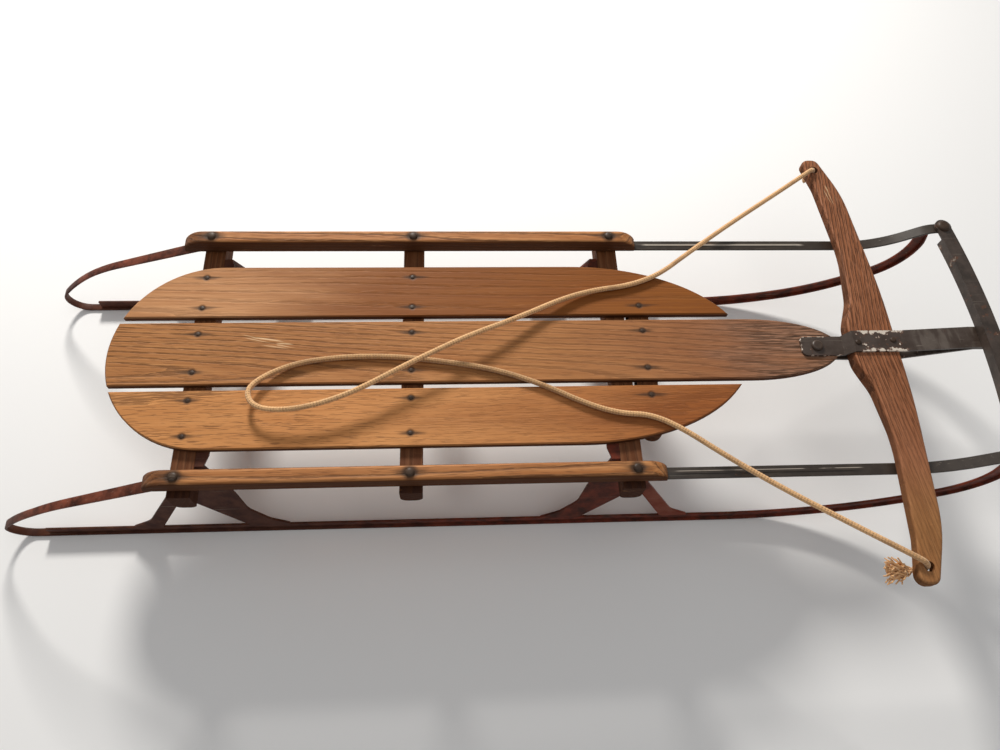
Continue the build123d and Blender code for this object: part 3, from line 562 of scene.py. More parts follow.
def metal_material(
    name, paint, dirty, chip, seed, wear=0.4, size=90.0, rough=0.45, specular=0.5, chipped=None,
    faded_until=None, faded_from=None, line=None,
):
    """Old paint on steel, with rust, rubbed spots and dirt."""
    metal = bpy.context.scene.sled_metal
    material, nodes, shader, where = new_material(name)
    mix, ramp, times = nodes.mix, nodes.ramp, nodes.times
    x, y, z = nodes.split(where)
    if chipped:
        start, end, half = chipped
        across = nodes.size_of(y)
        window = times(ramp(x, start - 0.006, start + 0.004), ramp(x, end + 0.012, end))
        spread = nodes.plus(0.24, times(ramp(across, half * 0.45, half * 0.95), 0.52))
        sides = times(ramp(across, 0.0118, 0.0132), ramp(x, start - 0.010, start - 0.02))
        rim = nodes.most(sides, ramp(x, *STRAP_NOSE))
        wear = nodes.plus(wear, nodes.most(times(window, spread), times(rim, 0.5)))
        smears = ramp(nodes.streaks(where, (150.0, 26.0, 26.0), seed), 0.45, 0.65)
        smears = times(ramp(x, end + 0.008, end + 0.02), smears, 0.07)
    chips = nodes.placed("sled_chips", {"Vector": where, "Amount": wear, "Size": size, "Seed": seed})
    if faded_until or faded_from:
        paint = mix(ramp(x, *BROWN_TO_RED), metal.brown, paint)
    if faded_until:
        start, end = faded_until
        paint = mix(times(ramp(x, end, start), ramp(z, 0.035, 0.09)), paint, metal.red_faded)
    if faded_from:
        faded = ramp(x, *faded_from)
        paint = mix(faded, paint, metal.red_faded)
        dirty = mix(faded, dirty, metal.red)
    colour = mix(ramp(chips["Dirt"], 0.30, 0.70), paint, dirty)
    colour = mix(times(chips["Rust"], 0.7), colour, metal.rust)
    colour = mix(times(chips["Scratch"], 0.40), colour, metal.bare)
    if chipped:
        colour = mix(smears, colour, chip)
    colour = mix(chips["Bare"], colour, chip)
    if chip == metal.bare:
        nodes.feed(shader["Metallic"], times(chips["Bare"], 0.7))
    # A pale broken line along the bead's crest: worn paint, and a painted highlight that is wider on the
    # left bar, which faces the key light.
    if line:
        offset, start, end = line
        broken = ramp(nodes.streaks(where, (26.0, 60.0, 60.0), seed, 4.0), 0.34, 0.44)
        inside = times(ramp(x, start - 0.01, start), ramp(x, end + 0.01, end))
        width = ramp(y, -0.1, 0.1, 0.0006, 0.0019)
        middle = ramp(y, -0.1, 0.1, offset - 0.0022, offset)
        gap = nodes.size_of(nodes.minus(nodes.size_of(y), middle))
        worn = times(ramp(nodes.over(gap, width), 1.0, 0.6), broken, inside)
        colour = mix(times(worn, 0.5), colour, metal.chip)
    nodes.feed(shader["Base Color"], colour)
    nodes.feed(shader["Roughness"], nodes.plus(rough, times(chips["Dirt"], 0.25)))
    shader["Specular IOR Level"].default_value = specular
    bumped(nodes, shader, chips["Height"], 0.00025, 0.6)
    return material


def rope_material(name, darkening):
    """Soiled braided cotton with painted shade in its hollows and on the run that lies on the deck, its
    braid on the piece's own UV map: round it, and along it.
    """
    rope = bpy.context.scene.sled_rope
    material, nodes, shader, where = new_material(name)
    mix, ramp, times = nodes.mix, nodes.ramp, nodes.times
    around, length, _ = nodes.split(nodes.put("ShaderNodeUVMap").outputs[0])
    turned = times(around, STRANDS * 2 * pi)
    run = times(length, 2 * pi / rope.pick)
    left_hand = nodes.calc("COSINE", nodes.plus(turned, run))
    right_hand = nodes.calc("COSINE", nodes.minus(turned, run))
    weave = nodes.plus(times(left_hand, right_hand, 0.5), 0.5)
    fuzz = nodes.noise(where, 900.0, 3.0, 0.65)
    soil = nodes.noise(where, 28.0, 4.0, 0.6)
    patchy = ramp(nodes.noise(where, 240.0), 0.35, 0.62, 0.25, 1.0)
    # The braid's hollows are darkened: painted shade in the creases, broken up by patchy dirt.
    hollow = times(nodes.minus(1.0, ramp(weave, 0.05, 0.6)), patchy, 0.85)
    dark = nodes.most(hollow, times(ramp(soil, 0.44, 0.72), 0.55))
    x, _, z = nodes.split(where)
    # The run that lies low on the deck towards the rear is mixed browner: painted shade under the raised
    # strand.
    shaded_run = times(ramp(z, 0.181, 0.176), ramp(x, along(0.80), along(0.68)), 0.62)
    colour = mix(times(dark, darkening), mix(shaded_run, rope.cotton, rope.shaded_run), rope.soil_and_shade)
    colour = mix(times(ramp(fuzz, 0.45, 0.7), 0.3), colour, rope.fuzz)
    nodes.feed(shader["Base Color"], colour)
    shader["Roughness"].default_value = 0.9
    shader["Sheen Weight"].default_value = 0.25
    bumped(nodes, shader, nodes.plus(times(weave, 0.7), times(fuzz, 0.4)), 0.0006, 0.9)
    return material


# Mesh helpers


def added(name, data):
    """A new object of the data, in the scene."""
    made = bpy.data.objects.new(name, data)
    bpy.context.scene.collection.objects.link(made)
    return made


def smoothed(mesh):
    """Smooth shading with its sharp edges kept."""
    mesh.shade_smooth()
    mesh.set_sharp_from_angle(angle=SHARP)


def evaluated_mesh(piece):
    """A new mesh of a piece as its modifiers or its curve give it."""
    evaluated = piece.evaluated_get(bpy.context.evaluated_depsgraph_get())
    return bpy.data.meshes.new_from_object(evaluated)


def mesh_piece(name, vertices, faces, material, smooth=True):
    """A mesh piece at the origin with outward normals."""
    mesh = bpy.data.meshes.new(name)
    mesh.from_pydata(vertices, [], faces)
    shell = bmesh.new()
    shell.from_mesh(mesh)
    bmesh.ops.recalc_face_normals(shell, faces=shell.faces)
    shell.to_mesh(mesh)
    shell.free()
    mesh.validate()
    mesh.materials.append(material)
    if smooth:
        smoothed(mesh)
    return added(name, mesh)


def settle(piece):
    """Turns a piece's modifiers into its own mesh."""
    mesh = evaluated_mesh(piece)
    piece.modifiers.clear()
    piece.data = mesh


def dress(names, material):
    """CAD nodes with a material of their own."""
    for name in names:
        mesh = NODES[name].data
        mesh.materials.clear()
        mesh.materials.append(material)


def swept(frames, section):
    """Vertices and faces of a section carried along frames of (point, across, up)."""
    vertices, faces = [], []
    for index, (point, across, up) in enumerate(frames):
        loop = section(index)
        vertices += [point + across * a + up * b for a, b in loop]
    count = len(vertices) // len(frames)
    for index in range(len(frames) - 1):
        base = index * count
        for step in range(count):
            other = (step + 1) % count
            faces.append((base + step, base + other, base + count + other, base + count + step))
    faces.append(tuple(range(count))[::-1])
    faces.append(tuple(range(len(vertices) - count, len(vertices))))
    return vertices, faces


def joined(shells):
    """Several shells of vertices and faces as one."""
    vertices, faces = [], []
    for part_vertices, part_faces in shells:
        base = len(vertices)
        vertices += part_vertices
        faces += [tuple(base + index for index in face) for face in part_faces]
    return vertices, faces


def turned_head(name, profile, steps, material):
    """A small head turned about Z from a profile of (radius, height), closed at both ends."""
    vertices, faces = [], []
    for radius, height in profile:
        turns = [2 * pi * step / steps for step in range(steps)]
        vertices += [Vector((radius * cos(turn), radius * sin(turn), height)) for turn in turns]
    for ring in range(len(profile) - 1):
        for step in range(steps):
            other = (step + 1) % steps
            base = ring * steps
            faces.append((base + step, base + other, base + steps + other, base + steps + step))
    faces.append(tuple(range(steps))[::-1])
    faces.append(tuple(range(len(vertices) - steps, len(vertices))))
    return mesh_piece(name, vertices, faces, material)


def spread_tree():
    """A Geometry Nodes tree that sets copies of a head on a mesh's points, each along its facing."""
    tree = bpy.data.node_groups.new("sled_heads", "GeometryNodeTree")
    sockets = (("Geometry", None), ("Head", None), ("Material", None), ("Size", 1.0), ("Tilt", 0.05))
    kinds = {"Head": "Object", "Size": "Float", "Tilt": "Float"}
    for name, default in sockets:
        kind = "NodeSocket" + kinds.get(name, name)
        made = tree.interface.new_socket(name, in_out="INPUT", socket_type=kind)
        if default is not None:
            made.default_value = default
    tree.interface.new_socket("Geometry", in_out="OUTPUT", socket_type="NodeSocketGeometry")
    nodes = Nodes(tree)
    given = nodes.put("NodeGroupInput").outputs
    result = nodes.put("NodeGroupOutput").inputs

    def scatter(low, high, seed):
        inputs = {"Min": low, "Max": high, "Seed": seed}
        return nodes.put("FunctionNodeRandomValue", inputs, data_type="FLOAT_VECTOR").outputs[0]

    def rotated(rotation, by):
        inputs = {"Rotation": rotation, "Rotate By": by}
        return nodes.put("FunctionNodeRotateEuler", inputs, space="LOCAL").outputs[0]

    head = nodes.put("GeometryNodeObjectInfo", {"Object": given["Head"]}).outputs["Geometry"]
    facing = nodes.put("GeometryNodeInputNamedAttribute", {"Name": "facing"}, data_type="FLOAT_VECTOR")
    aligned = nodes.put("FunctionNodeAlignEulerToVector", {"Vector": facing.outputs[0]}, axis="Z").outputs[0]
    spin = scatter((0.0, 0.0, 0.0), (0.0, 0.0, 6.28), 7)
    lean = nodes.scaled(scatter((-1.0, -1.0, 0.0), (1.0, 1.0, 0.0), 11), given["Tilt"])
    copies = nodes.put("GeometryNodeInstanceOnPoints", {
        "Points": given["Geometry"], "Instance": head, "Rotation": rotated(rotated(aligned, spin), lean),
        "Scale": given["Size"],
    }).outputs[0]
    real = nodes.put("GeometryNodeRealizeInstances", {0: copies}).outputs[0]
    painted = nodes.put("GeometryNodeSetMaterial", {"Geometry": real, "Material": given["Material"]})
    nodes.feed(result["Geometry"], painted.outputs[0])


def set_input(modifier, name, value):
    """Sets a modifier's input by its socket's identifier."""
    for socket in modifier.node_group.interface.items_tree:
        if socket.item_type == "SOCKET" and socket.in_out == "INPUT" and socket.name == name:
            modifier[socket.identifier] = value
            return
    raise ValueError("no input called " + name)


def spread_heads(name, head, spots, body, material, tilt, size):
    """One mesh of heads at spots of (point, facing), riding a body."""
    mesh = bpy.data.meshes.new(name)
    mesh.from_pydata([Vector(point) for point, _ in spots], [], [])
    facing = mesh.attributes.new("facing", "FLOAT_VECTOR", "POINT")
    for item, (_, direction) in zip(facing.data, spots):
        item.vector = Vector(direction)
    piece = added(name, mesh)
    modifier = piece.modifiers.new("heads", "NODES")
    modifier.node_group = bpy.data.node_groups["sled_heads"]
    for key, value in (("Head", head), ("Material", material), ("Size", size), ("Tilt", tilt)):
        set_input(modifier, key, value)
    settle(piece)
    smoothed(piece.data)
    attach(piece, body)


def discard(piece):
    """Removes a pattern object once its copies are made."""
    bpy.data.objects.remove(piece, do_unlink=True)


# Bent strips


def advance(pose, size, turn):
    """The next point and heading after a straight of a length, or an arc of a radius and turn."""
    x, z, heading = pose
    if turn == 0:
        return x + size * cos(heading), z + size * sin(heading), heading
    radius = size if turn > 0 else -size
    after = heading + turn
    return x + radius * (sin(after) - sin(heading)), z + radius * (cos(heading) - cos(after)), after


def strip_frames(start, facing, legs, y, spacing=0.007):
    """Frames along the outer face of a bent strip: legs are (length or radius, turn in degrees)."""
    poses = [(0.0, 0.0, 0.0)]
    for size, degrees in legs:
        turn = radians(degrees)
        reach = size if turn == 0 else size * abs(turn)
        steps = max(2, ceil(reach / spacing), ceil(abs(turn) / radians(4)))
        pose = poses[-1]
        for step in range(1, steps + 1):
            if turn == 0:
                poses.append(advance(pose, size * step / steps, 0.0))
            else:
                poses.append(advance(pose, size, turn * step / steps))
    frames = []
    for x, z, heading in poses:
        point = Vector((start[0] + facing * x, y, start[1] + z))
        up = Vector((-facing * sin(heading), 0.0, cos(heading)))
        frames.append((point, Vector((0.0, 1.0, 0.0)), up))
    return frames


def bar_legs():
    """The side bar ahead of the hinge: level, up over two bends and level at the bumper."""
    slope, bends = radians(BAR_SLOPE), BAR_LOWER_BEND + BAR_UPPER_BEND
    slant = (BAR_RISE - bends * (1 - cos(slope))) / sin(slope)
    run = bends * sin(slope) + slant * cos(slope)
    start = BUMPER_EYE - BAR_RISE_BEHIND_BUMPER
    return [
        (start - FLEX_HINGE, 0), (BAR_LOWER_BEND, BAR_SLOPE), (slant, 0), (BAR_UPPER_BEND, -BAR_SLOPE),
        (BUMPER_EYE - start - run, 0),
    ]


def widening(point):
    """How far the rear strip has leaned in and widened at a point, from 0 to 1."""
    if point.z <= LEAN_FOOT or point.x > 0:
        return 0.0
    return share_of(point.x, along(LEAN_START), LEAN_RUN)


def runner_frames(y):
    """The runner's outer face from the tongue under the rail round both curls to the side bar."""
    curl = (CURL_RADIUS, CURL_TURN)
    back = (BACK_RADIUS, 180.0 - TONGUE_SLOPE - CURL_TURN)
    pose = advance((0.0, 0.0, 0.0), curl[0], radians(curl[1]))
    pose = advance(pose, back[0], radians(back[1]))
    slope = radians(TONGUE_SLOPE)
    slant = (RAIL_BOTTOM - pose[1] - TONGUE_RADIUS * (1 - cos(slope))) / sin(slope)
    tongue = [(slant, 0), (TONGUE_RADIUS, TONGUE_SLOPE), (TONGUE_LENGTH, 0)]
    legs = [(FLEX_HINGE - CURL_RADIUS, 0), curl, back, *tongue]
    rear = strip_frames((along(FLEX_HINGE), 0.0), -1, legs, y)
    side = 1 if y > 0 else -1
    returning = []
    for point, across, up in rear:
        if point.z > LEAN_FOOT:
            point = Vector((point.x, y - side * LEAN_IN * widening(point), point.z))
        if point.x < along(TONGUE_END):
            returning.append((point, across, up))
    last, across, up = rear[-1]
    returning.append((Vector((along(TONGUE_END), y - side * LEAN_IN, last.z)), across, up))
    ground = [item for item in rear if item[0].z <= LEAN_FOOT and item[0].x >= along(TONGUE_END)]
    rear = ground + returning
    end = (0.0, 0.0, 0.0)
    for size, degrees in FRONT_LEGS:
        end = advance(end, size, radians(degrees))
    last_leg = ((RAIL_BOTTOM + BAR_RISE - end[1]) / sin(end[2]), 0)
    front = strip_frames((along(FLEX_HINGE), 0.0), 1, [*FRONT_LEGS, last_leg], y)
    return rear[::-1], front[1:]


def eased(corners, radius):
    """A closed section's corners each cut by two short chamfers."""
    loop = []
    for index, corner in enumerate(corners):
        before = Vector(corners[index - 1])
        after = Vector(corners[(index + 1) % len(corners)])
        here = Vector(corner)
        back, ahead = (before - here), (after - here)
        cut = min(radius, back.length * 0.45, ahead.length * 0.45)
        first, last = here + back.normalized() * cut, here + ahead.normalized() * cut
        middle = here + (first + last - 2 * here) * 0.27
        loop += [tuple(first), tuple(middle), tuple(last)]
    return loop


def under_bar(station):
    """The height of the side bar's underside at a station ahead of the hinge."""
    frames = strip_frames((along(FLEX_HINGE), BAR_BOTTOM), 1, bar_legs(), 0.0)
    x = along(station)
    for (first, _, _), (second, _, _) in zip(frames, frames[1:]):
        if first.x <= x <= second.x:
            return first.z + (second.z - first.z) * (x - first.x) / (second.x - first.x)
    return frames[-1][0].z


# Pieces


class SLED_OT_stage(bpy.types.Operator):
    """Lays the pale floor, the lights and the camera"""

    bl_idname = "sled.stage"
    bl_label = "Stage"

    def execute(self, context):
        stage = context.scene.sled_stage
        material, nodes, shader, where = new_material("floor_paper")
        mottled = nodes.times(nodes.noise(where, 3.0), 0.04)
        nodes.feed(shader["Base Color"], nodes.mix(mottled, stage.floor, (1.0, 1.0, 1.0)))
        shader["Roughness"].default_value = 0.9
        half, below = 6.0, -0.0005
        corners = ((-half, -half, below), (half, -half, below), (half, half, below), (-half, half, below))
        mesh_piece("floor", corners, [(0, 1, 2, 3)], material, smooth=False)
        lights = [
            ("key_window", (-0.55, 2.25, 1.45), 0.5, stage.key, (1.0, 0.965, 0.91)),
            ("fill_softbox", (0.2, -0.3, 2.6), 2.4, stage.fill, (1.0, 0.98, 0.96)),
        ]
        for name, place, size, power, colour in lights:
            data = bpy.data.lights.new(name, "AREA")
            data.shape = "DISK"
            data.size = size
            data.energy = power
            data.color = colour
            light = added(name, data)
            light.location = place
            light.rotation_euler = (-Vector(place)).to_track_quat("-Z", "Y").to_euler()
        world = bpy.data.worlds.new("studio")
        world.use_nodes = True
        sky = world.node_tree.nodes["Background"].inputs
        sky["Color"].default_value = (1.0, 1.0, 1.0, 1.0)
        sky["Strength"].default_value = stage.sky
        context.scene.world = world
        context.scene.view_settings.view_transform = "Standard"
        lens = bpy.data.cameras.new("camera")
        lens.lens = stage.lens
        lens.clip_end = 50.0
        camera = added("camera", lens)
        camera.location = CAMERA_PLACE
        camera.rotation_euler = [radians(turn) for turn in CAMERA_TURNS]
        context.scene.camera = camera
        return {"FINISHED"}


def rope_line():
    """The points that the rope follows, read from its route's spline."""
    curve = bpy.data.curves.new("rope route", "CURVE")
    curve.dimensions = "3D"
    spline = curve.splines.new("NURBS")
    route = [(along(s), y, z) for s, y, z in ROPE_ROUTE]
    hole = along(HOLE_STATION)
    points = [(hole, HOLE_OFFSET, KNOT_TOP), *route, (hole, -HOLE_OFFSET, KNOT_TOP)]
    spline.points.add(len(points) - 1)
    for item, place in zip(spline.points, points):
        item.co = (*place, 1.0)
    spline.order_u = 3
    spline.use_endpoint_u = True
    spline.resolution_u = 24
    holder = added("rope route", curve)
    line = [vertex.co.copy() for vertex in evaluated_mesh(holder).vertices]
    discard(holder)
    return line


def evenly(line, spacing):
    """Points along a line about a spacing apart, with its ends kept."""
    total = sum((b - a).length for a, b in zip(line, line[1:]))
    count = max(2, round(total / spacing))
    step, points, walked = total / count, [line[0].copy()], 0.0
    target = step
    for a, b in zip(line, line[1:]):
        length = (b - a).length
        while length > 0 and walked + length >= target - 1e-9 and len(points) < count:
            points.append(a + (b - a) * ((target - walked) / length))
            target += step
        walked += length
    points.append(line[-1].copy())
    return points


def cord_frames(points):
    """Frames along a line that turn as little as they can."""
    frames = []
    across = Vector((1.0, 0.0, 0.0))
    for index, point in enumerate(points):
        tangent = points[min(index + 1, len(points) - 1)] - points[max(index - 1, 0)]
        tangent.normalize()
        across = across - tangent * across.dot(tangent)
        if across.length < 1e-6:
            across = tangent.orthogonal()
        across.normalize()
        frames.append((point, across.copy(), tangent.cross(across)))
    return frames


def braided(name, points, radius, pick, material, sides=20):
    """A braided cord along points, with a UV map that runs round it and along it."""
    frames = cord_frames(points)
    lengths = [0.0]
    for a, b in zip(points, points[1:]):
        lengths.append(lengths[-1] + (b - a).length)

    def section(index):
        run = 2 * pi * lengths[index] / pick
        loop = []
        for step in range(sides):
            turn = 2 * pi * step / sides
            weave = cos(STRANDS * turn + run) * cos(STRANDS * turn - run)
            reach = radius * (0.955 + 0.045 * weave)
            loop.append((reach * cos(turn), reach * sin(turn)))
        return loop

    vertices, faces = swept(frames, section)
    piece = mesh_piece(name, vertices, faces, material)
    layer = piece.data.uv_layers.new(name="UVMap")
    for face in piece.data.polygons:
        steps = [index % sides for index in face.vertices]
        wraps = 0 in steps and sides - 1 in steps and len(steps) == 4
        for loop_index, vertex in zip(face.loop_indices, face.vertices):
            step = vertex % sides
            turn = 1.0 if wraps and step == 0 else step / sides
            layer.data[loop_index].uv = (turn, lengths[vertex // sides])
    return piece


class SLED_OT_pull_rope(bpy.types.Operator):
    """Lays the pull rope in a loop on the deck, knotted under both ends of the steering bar"""

    bl_idname = "sled.pull_rope"
    bl_label = "Pull rope"

    def execute(self, context):
        settings = context.scene.sled_rope
        cotton = rope_material("pull_rope_cotton", 1.0)
        radius = settings.diameter / 2
        line = rope_line()
        points = evenly(line, 0.0011)
        rope = braided("pull_rope", points, radius, settings.pick, cotton)
        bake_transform(rope)
        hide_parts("rope")
        tails = self.rope_ends(settings, radius, cotton)
        [tuple(point) for point in evenly(line, 0.004)]
        return {"FINISHED"}

    def rope_ends(self, settings, radius, cotton):
        """The stopper knots and the frayed end, under the steering bar."""
        tails = []
        for side, sign in SIDES:
            center = Vector((along(HOLE_STATION), sign * HOLE_OFFSET, KNOT_TOP))
            wraps, turns, coil, drop = [], 1.6, 0.0050, 0.0062
            for step in range(61):
                share = step / 60
                angle = 2 * pi * turns * share
                wraps.append(center + Vector((coil * cos(angle), coil * sin(angle), -0.0042 - drop * share)))
            knot = braided("rope_knot_wrap_" + side, wraps, radius * 0.98, settings.pick, cotton, 14)
            knot_core = braided(
                "rope_knot_core_" + side,
                [center + Vector((0.0, 0.0, -0.0003 - 0.0125 * step / 8)) for step in range(9)],
                radius * 0.95, settings.pick, cotton, 14,
            )
            knot.data = self.one_mesh(knot, knot_core)
            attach(knot, "steering")
            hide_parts("rope_knot_" + side)
            tails.append(knot)
        tuft = self.frayed_end(settings, rope_material("frayed_cotton", 0.45))
        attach(tuft, "steering")
        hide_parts("rope_tuft")
        tails.append(tuft)
        return tails

    def one_mesh(self, first, second):
        """Two pieces' meshes as one, the second piece removed."""
        shell = bmesh.new()
        shell.from_mesh(first.data)
        shell.from_mesh(second.data)
        mesh = first.data.copy()
        shell.to_mesh(mesh)
        shell.free()
        discard(second)
        return mesh

    def frayed_end(self, settings, cotton):
        """Wavy yarns that fan out behind the right-hand knot."""
        def yarn(index):
            radius = YARN_RADIUS * (1 - 0.04 * index)
            return [(radius * cos(pi * step / 3), radius * sin(pi * step / 3)) for step in range(6)]

        low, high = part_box("rope_tuft")
        start = Vector((high[0], (low[1] + high[1]) / 2, (low[2] + high[2]) / 2))
        reach = high[0] - low[0]
        shells = []
        spread = (high[1] - low[1]) / 2
        for index in range(settings.fibres):
            turn = index * YARN_TURN
            lean = spread * ((index + 0.5) / settings.fibres) ** 0.6
            long = reach * (0.76 + 0.22 * cos(index * 5.1))
            points = []
            for step in range(8):
                share = step / 7
                curl = 0.0026 * share * sin(share * 8.0 + index * 2.3)
                points.append(start + Vector((
                    -long * share + 0.0008,
                    lean * cos(turn) * share**1.1 * 0.93 + curl,
                    lean * sin(turn) * share**1.1 * 0.93 + curl * cos(index * 1.7),
                )))
            shells.append(swept(cord_frames(points), yarn))
        return mesh_piece("rope_frayed_end", *joined(shells), cotton)


class SLED_OT_woodwork(bpy.types.Operator):
    """Finishes the deck boards, benches, rails and steering bar in worn oiled wood"""

    bl_idname = "sled.woodwork"
    bl_label = "Woodwork"

    def execute(self, context):
        wood = context.scene.sled_wood
        inner, middle, outer = NAIL_OFFSETS
        rows = dict(zip(("Row A", "Row B", "Row C"), (along(station) for station in NAIL_STATIONS)))
        boards = [
            ("left", wood.left_rear, 3.0, (middle, outer, middle), dict(
                center=(0.0, 0.05, DECK_TOP), rings=210.0, depth=0.10, lean=0.012, wander=0.005, pores=0.34,
                loose=0.45, pore_depth=0.42, tone=0.34, line=0.08, calm=(along(0.1), along(0.6), 0.7),
                front=(wood.left_front, along(0.24), along(0.50)),
            )),
            ("center", wood.center_rear, 11.0, (-inner, inner, inner), dict(
                center=(0.0, -0.040, DECK_TOP), turn=radians(-2.4), rings=158.0, depth=0.030, lean=0.045,
                wander=0.007, pores=0.80, loose=0.42, pore_depth=0.54, tone=0.40, line=0.24,
                calm=(along(0.35), along(0.62), 0.52),
                front=(wood.center_front, along(0.60), along(1.0)), weathered_from=along(0.90),
                scratches=[
                    ((along(0.336), 0.0155), -15.0, 0.036, 0.0075),
                    ((along(0.360), 0.009), -10.0, 0.014, 0.005),
                ],
            )),
            ("right", wood.right_rear, 23.0, (-middle, -outer, -middle), dict(
                center=(0.0, -0.089, DECK_TOP), turn=radians(0.8), rings=120.0, depth=0.200, lean=-0.010,
                wander=0.004, pores=0.55, loose=0.95, pore_depth=0.56, tone=0.26, blotch=0.26, line=0.06,
                calm=(along(0.35), along(0.6), 0.45),
                front=(wood.right_front, along(0.40), along(0.90)),
            )),
        ]
        for side, light, seed, lines, options in boards:
            heads = dict(zip(("Line A", "Line B", "Front line"), lines))
            material = wood_material(
                "deck_" + side + "_oak", light, seed, flank_shade=0.88,
                heads={**rows, **heads, "Reach": 0.009, "Radius": 0.0030}, **options,
            )
            dress(["deck_board_" + side], material)
        # The bench ends on the right side, beyond the rail, are mixed towards the pore colour: painted shade
        # under the rail, with the end grain's own darkness.
        bench = wood_material(
            "bench_oak", wood.bench, 31.0, turn=pi / 2, rings=150.0, depth=0.04, flank_shade=0.55, tone=0.95,
            line=0.45, tip=(wood.pore_and_shade, -0.152, -0.163),
        )
        dress(["bench_rear", "bench_middle", "bench_front", "deck_cleat_front"], bench)
        bolts = dict(zip(("Row A", "Row B", "Row C"), (along(station) for station in RAIL_BOLT_STATIONS)))
        for side, sign in SIDES:
            line = sign * RAIL_OFFSET
            rail = wood_material(
                "rail_oak_" + side, wood.rail, 41.0 + sign, center=(0.0, sign * 0.15, RAIL_TOP),
                rings=190.0, depth=0.03, lean=0.02, pores=0.7, flank_shade=0.92, tone=0.58, line=0.42,
                tip=(wood.rail_end, along(0.270), along(0.236)),
                heads={
                    **bolts, "Line A": line, "Line B": line, "Front line": line, "Reach": 0.012,
                    "Radius": 0.0056,
                },
            )
            dress(["side_rail_" + side], rail)
        steering = wood_material(
            "steering_ash", wood.steering, 53.0, turn=pi / 2, center=(0.80, 0.0, 0.182), bend=0.10,
            rings=200.0, depth=0.0, lean=0.0, wander=0.0036, pores=0.8, loose=0.75, pore_depth=0.72,
            flank_shade=0.55, tone=0.6, line=0.36, relief=1.0, calm=(-0.04, -0.20, 0.12),
            tip=(wood.steering_tip, -0.14, -0.25),
            scratches=[((along(1.106), 0.236), 97.0, 0.024, 0.008)],
        )
        dress(["steering_bar"], steering)
        return {"FINISHED"}


class SLED_OT_runners(bpy.types.Operator):
    """Makes each runner one continuous strip, unbroken where its front swings"""

    bl_idname = "sled.runners"
    bl_label = "Runners"

    def execute(self, context):
        metal = context.scene.sled_metal
        paint = metal_material(
            "runner_old_red", metal.red, metal.red_dark, metal.bare, 2.0, wear=0.22, size=60.0,
            faded_until=(along(0.10), along(0.30)), specular=0.2,
        )
        half, thick = metal.flange_width / 2, metal.flange_thickness
        web, height = metal.web_thickness / 2, metal.runner_height
        for side, sign in SIDES:
            rear, front = runner_frames(sign * RUNNER_OFFSET)
            frames = rear + front

            def flange_section(index):
                point = frames[index][0]
                wide = half + (metal.bar_width / 2 - half) * widening(point)
                if point.x > along(BAR_MEETING):
                    wide -= (half - web) * share_of(point.z, 0.165, 0.022)
                return eased([(-wide, 0.0), (wide, 0.0), (wide, thick), (-wide, thick)], 0.0007)

            flange, flange_faces = swept(frames, flange_section)
            web_frames = [item for item in frames if item[0].x > along(RIB_START) and item[2].z > -0.3]
            grounded = [
                index for index, item in enumerate(web_frames) if item[0].z < 0.0005 or item[0].x > 0
            ]
            web_frames = web_frames[grounded[0]:]
            base = thick - 0.0006

            def web_section(index):
                point = web_frames[index][0]
                share = share_of(point.x, along(RIB_START), 0.007)
                top = base + 0.0008 + (height - base - 0.0008) * share
                return eased([(-web, base), (web, base), (web, top), (-web, top)], 0.0005)

            ribs, rib_faces = swept(web_frames, web_section)
            limit = {}
            for vertex in flange + ribs:
                if vertex.x > along(BAR_MEETING):
                    top = limit.setdefault(round(vertex.x, 4), under_bar(vertex.x + LENGTH / 2))
                    vertex.z = min(vertex.z, top - 0.0001)
            shells = [(flange, flange_faces), (ribs, rib_faces)]
            runner = mesh_piece("runner_" + side + "_strip", *joined(shells), paint)
            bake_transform(runner)
            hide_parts("runner_" + side, "runner_front_" + side)
        return {"FINISHED"}


class SLED_OT_side_bars(bpy.types.Operator):
    """Makes each flat side bar one continuous strip with its pressed bead"""

    bl_idname = "sled.side_bars"
    bl_label = "Side bars"

    def execute(self, context):
        metal = context.scene.sled_metal
        # The pale line along the bead is worn paint and a painted highlight.
        paint = metal_material(
            "side_bar_black", metal.black, metal.pitch, metal.bare, 5.0, wear=0.16, size=70.0,
            rough=0.30, line=(RAIL_OFFSET, along(0.835), along(1.05)),
        )
        half, thick, bead = metal.bar_width / 2, metal.bar_thickness, metal.bead_height
        for side, sign in SIDES:
            y = sign * RAIL_OFFSET
            behind = strip_frames((along(FLEX_HINGE), BAR_BOTTOM), -1, [(FLEX_HINGE - BAR_REAR, 0)], y)
            ahead = strip_frames((along(FLEX_HINGE), BAR_BOTTOM), 1, bar_legs(), y)
            frames = behind[::-1] + ahead[1:]
            tip = frames[-1]
            for step in range(1, 7):
                turn = pi / 2 * step / 6
                frames.append((tip[0] + Vector((half * 0.98 * sin(turn), 0.0, 0.0)), tip[1], tip[2]))

            def section(index):
                point = frames[index][0]
                past = max(0.0, point.x - along(BUMPER_EYE)) / half
                width = half * max(0.12, (1 - min(1.0, past) ** 2) ** 0.5)
                rise = bead * share_of(point.x, along(BEAD_START), BEAD_RUN_OUT)
                rise *= share_of(along(BEAD_END) - point.x, 0.0, BEAD_RUN_OUT)
                top = [
                    (1.0, thick - 0.0006), (0.93, thick), (0.30, thick), (0.16, thick + rise),
                    (-0.16, thick + rise), (-0.30, thick), (-0.93, thick), (-1.0, thick - 0.0006),
                    (-1.0, 0.0006), (-0.93, 0.0), (0.93, 0.0), (1.0, 0.0006),
                ]
                return [(share * width, up) for share, up in top]

            bar = mesh_piece("side_bar_" + side + "_strip", *swept(frames, section), paint)
            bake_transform(bar)
            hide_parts("side_bar_" + side, "side_bar_front_" + side)
        return {"FINISHED"}


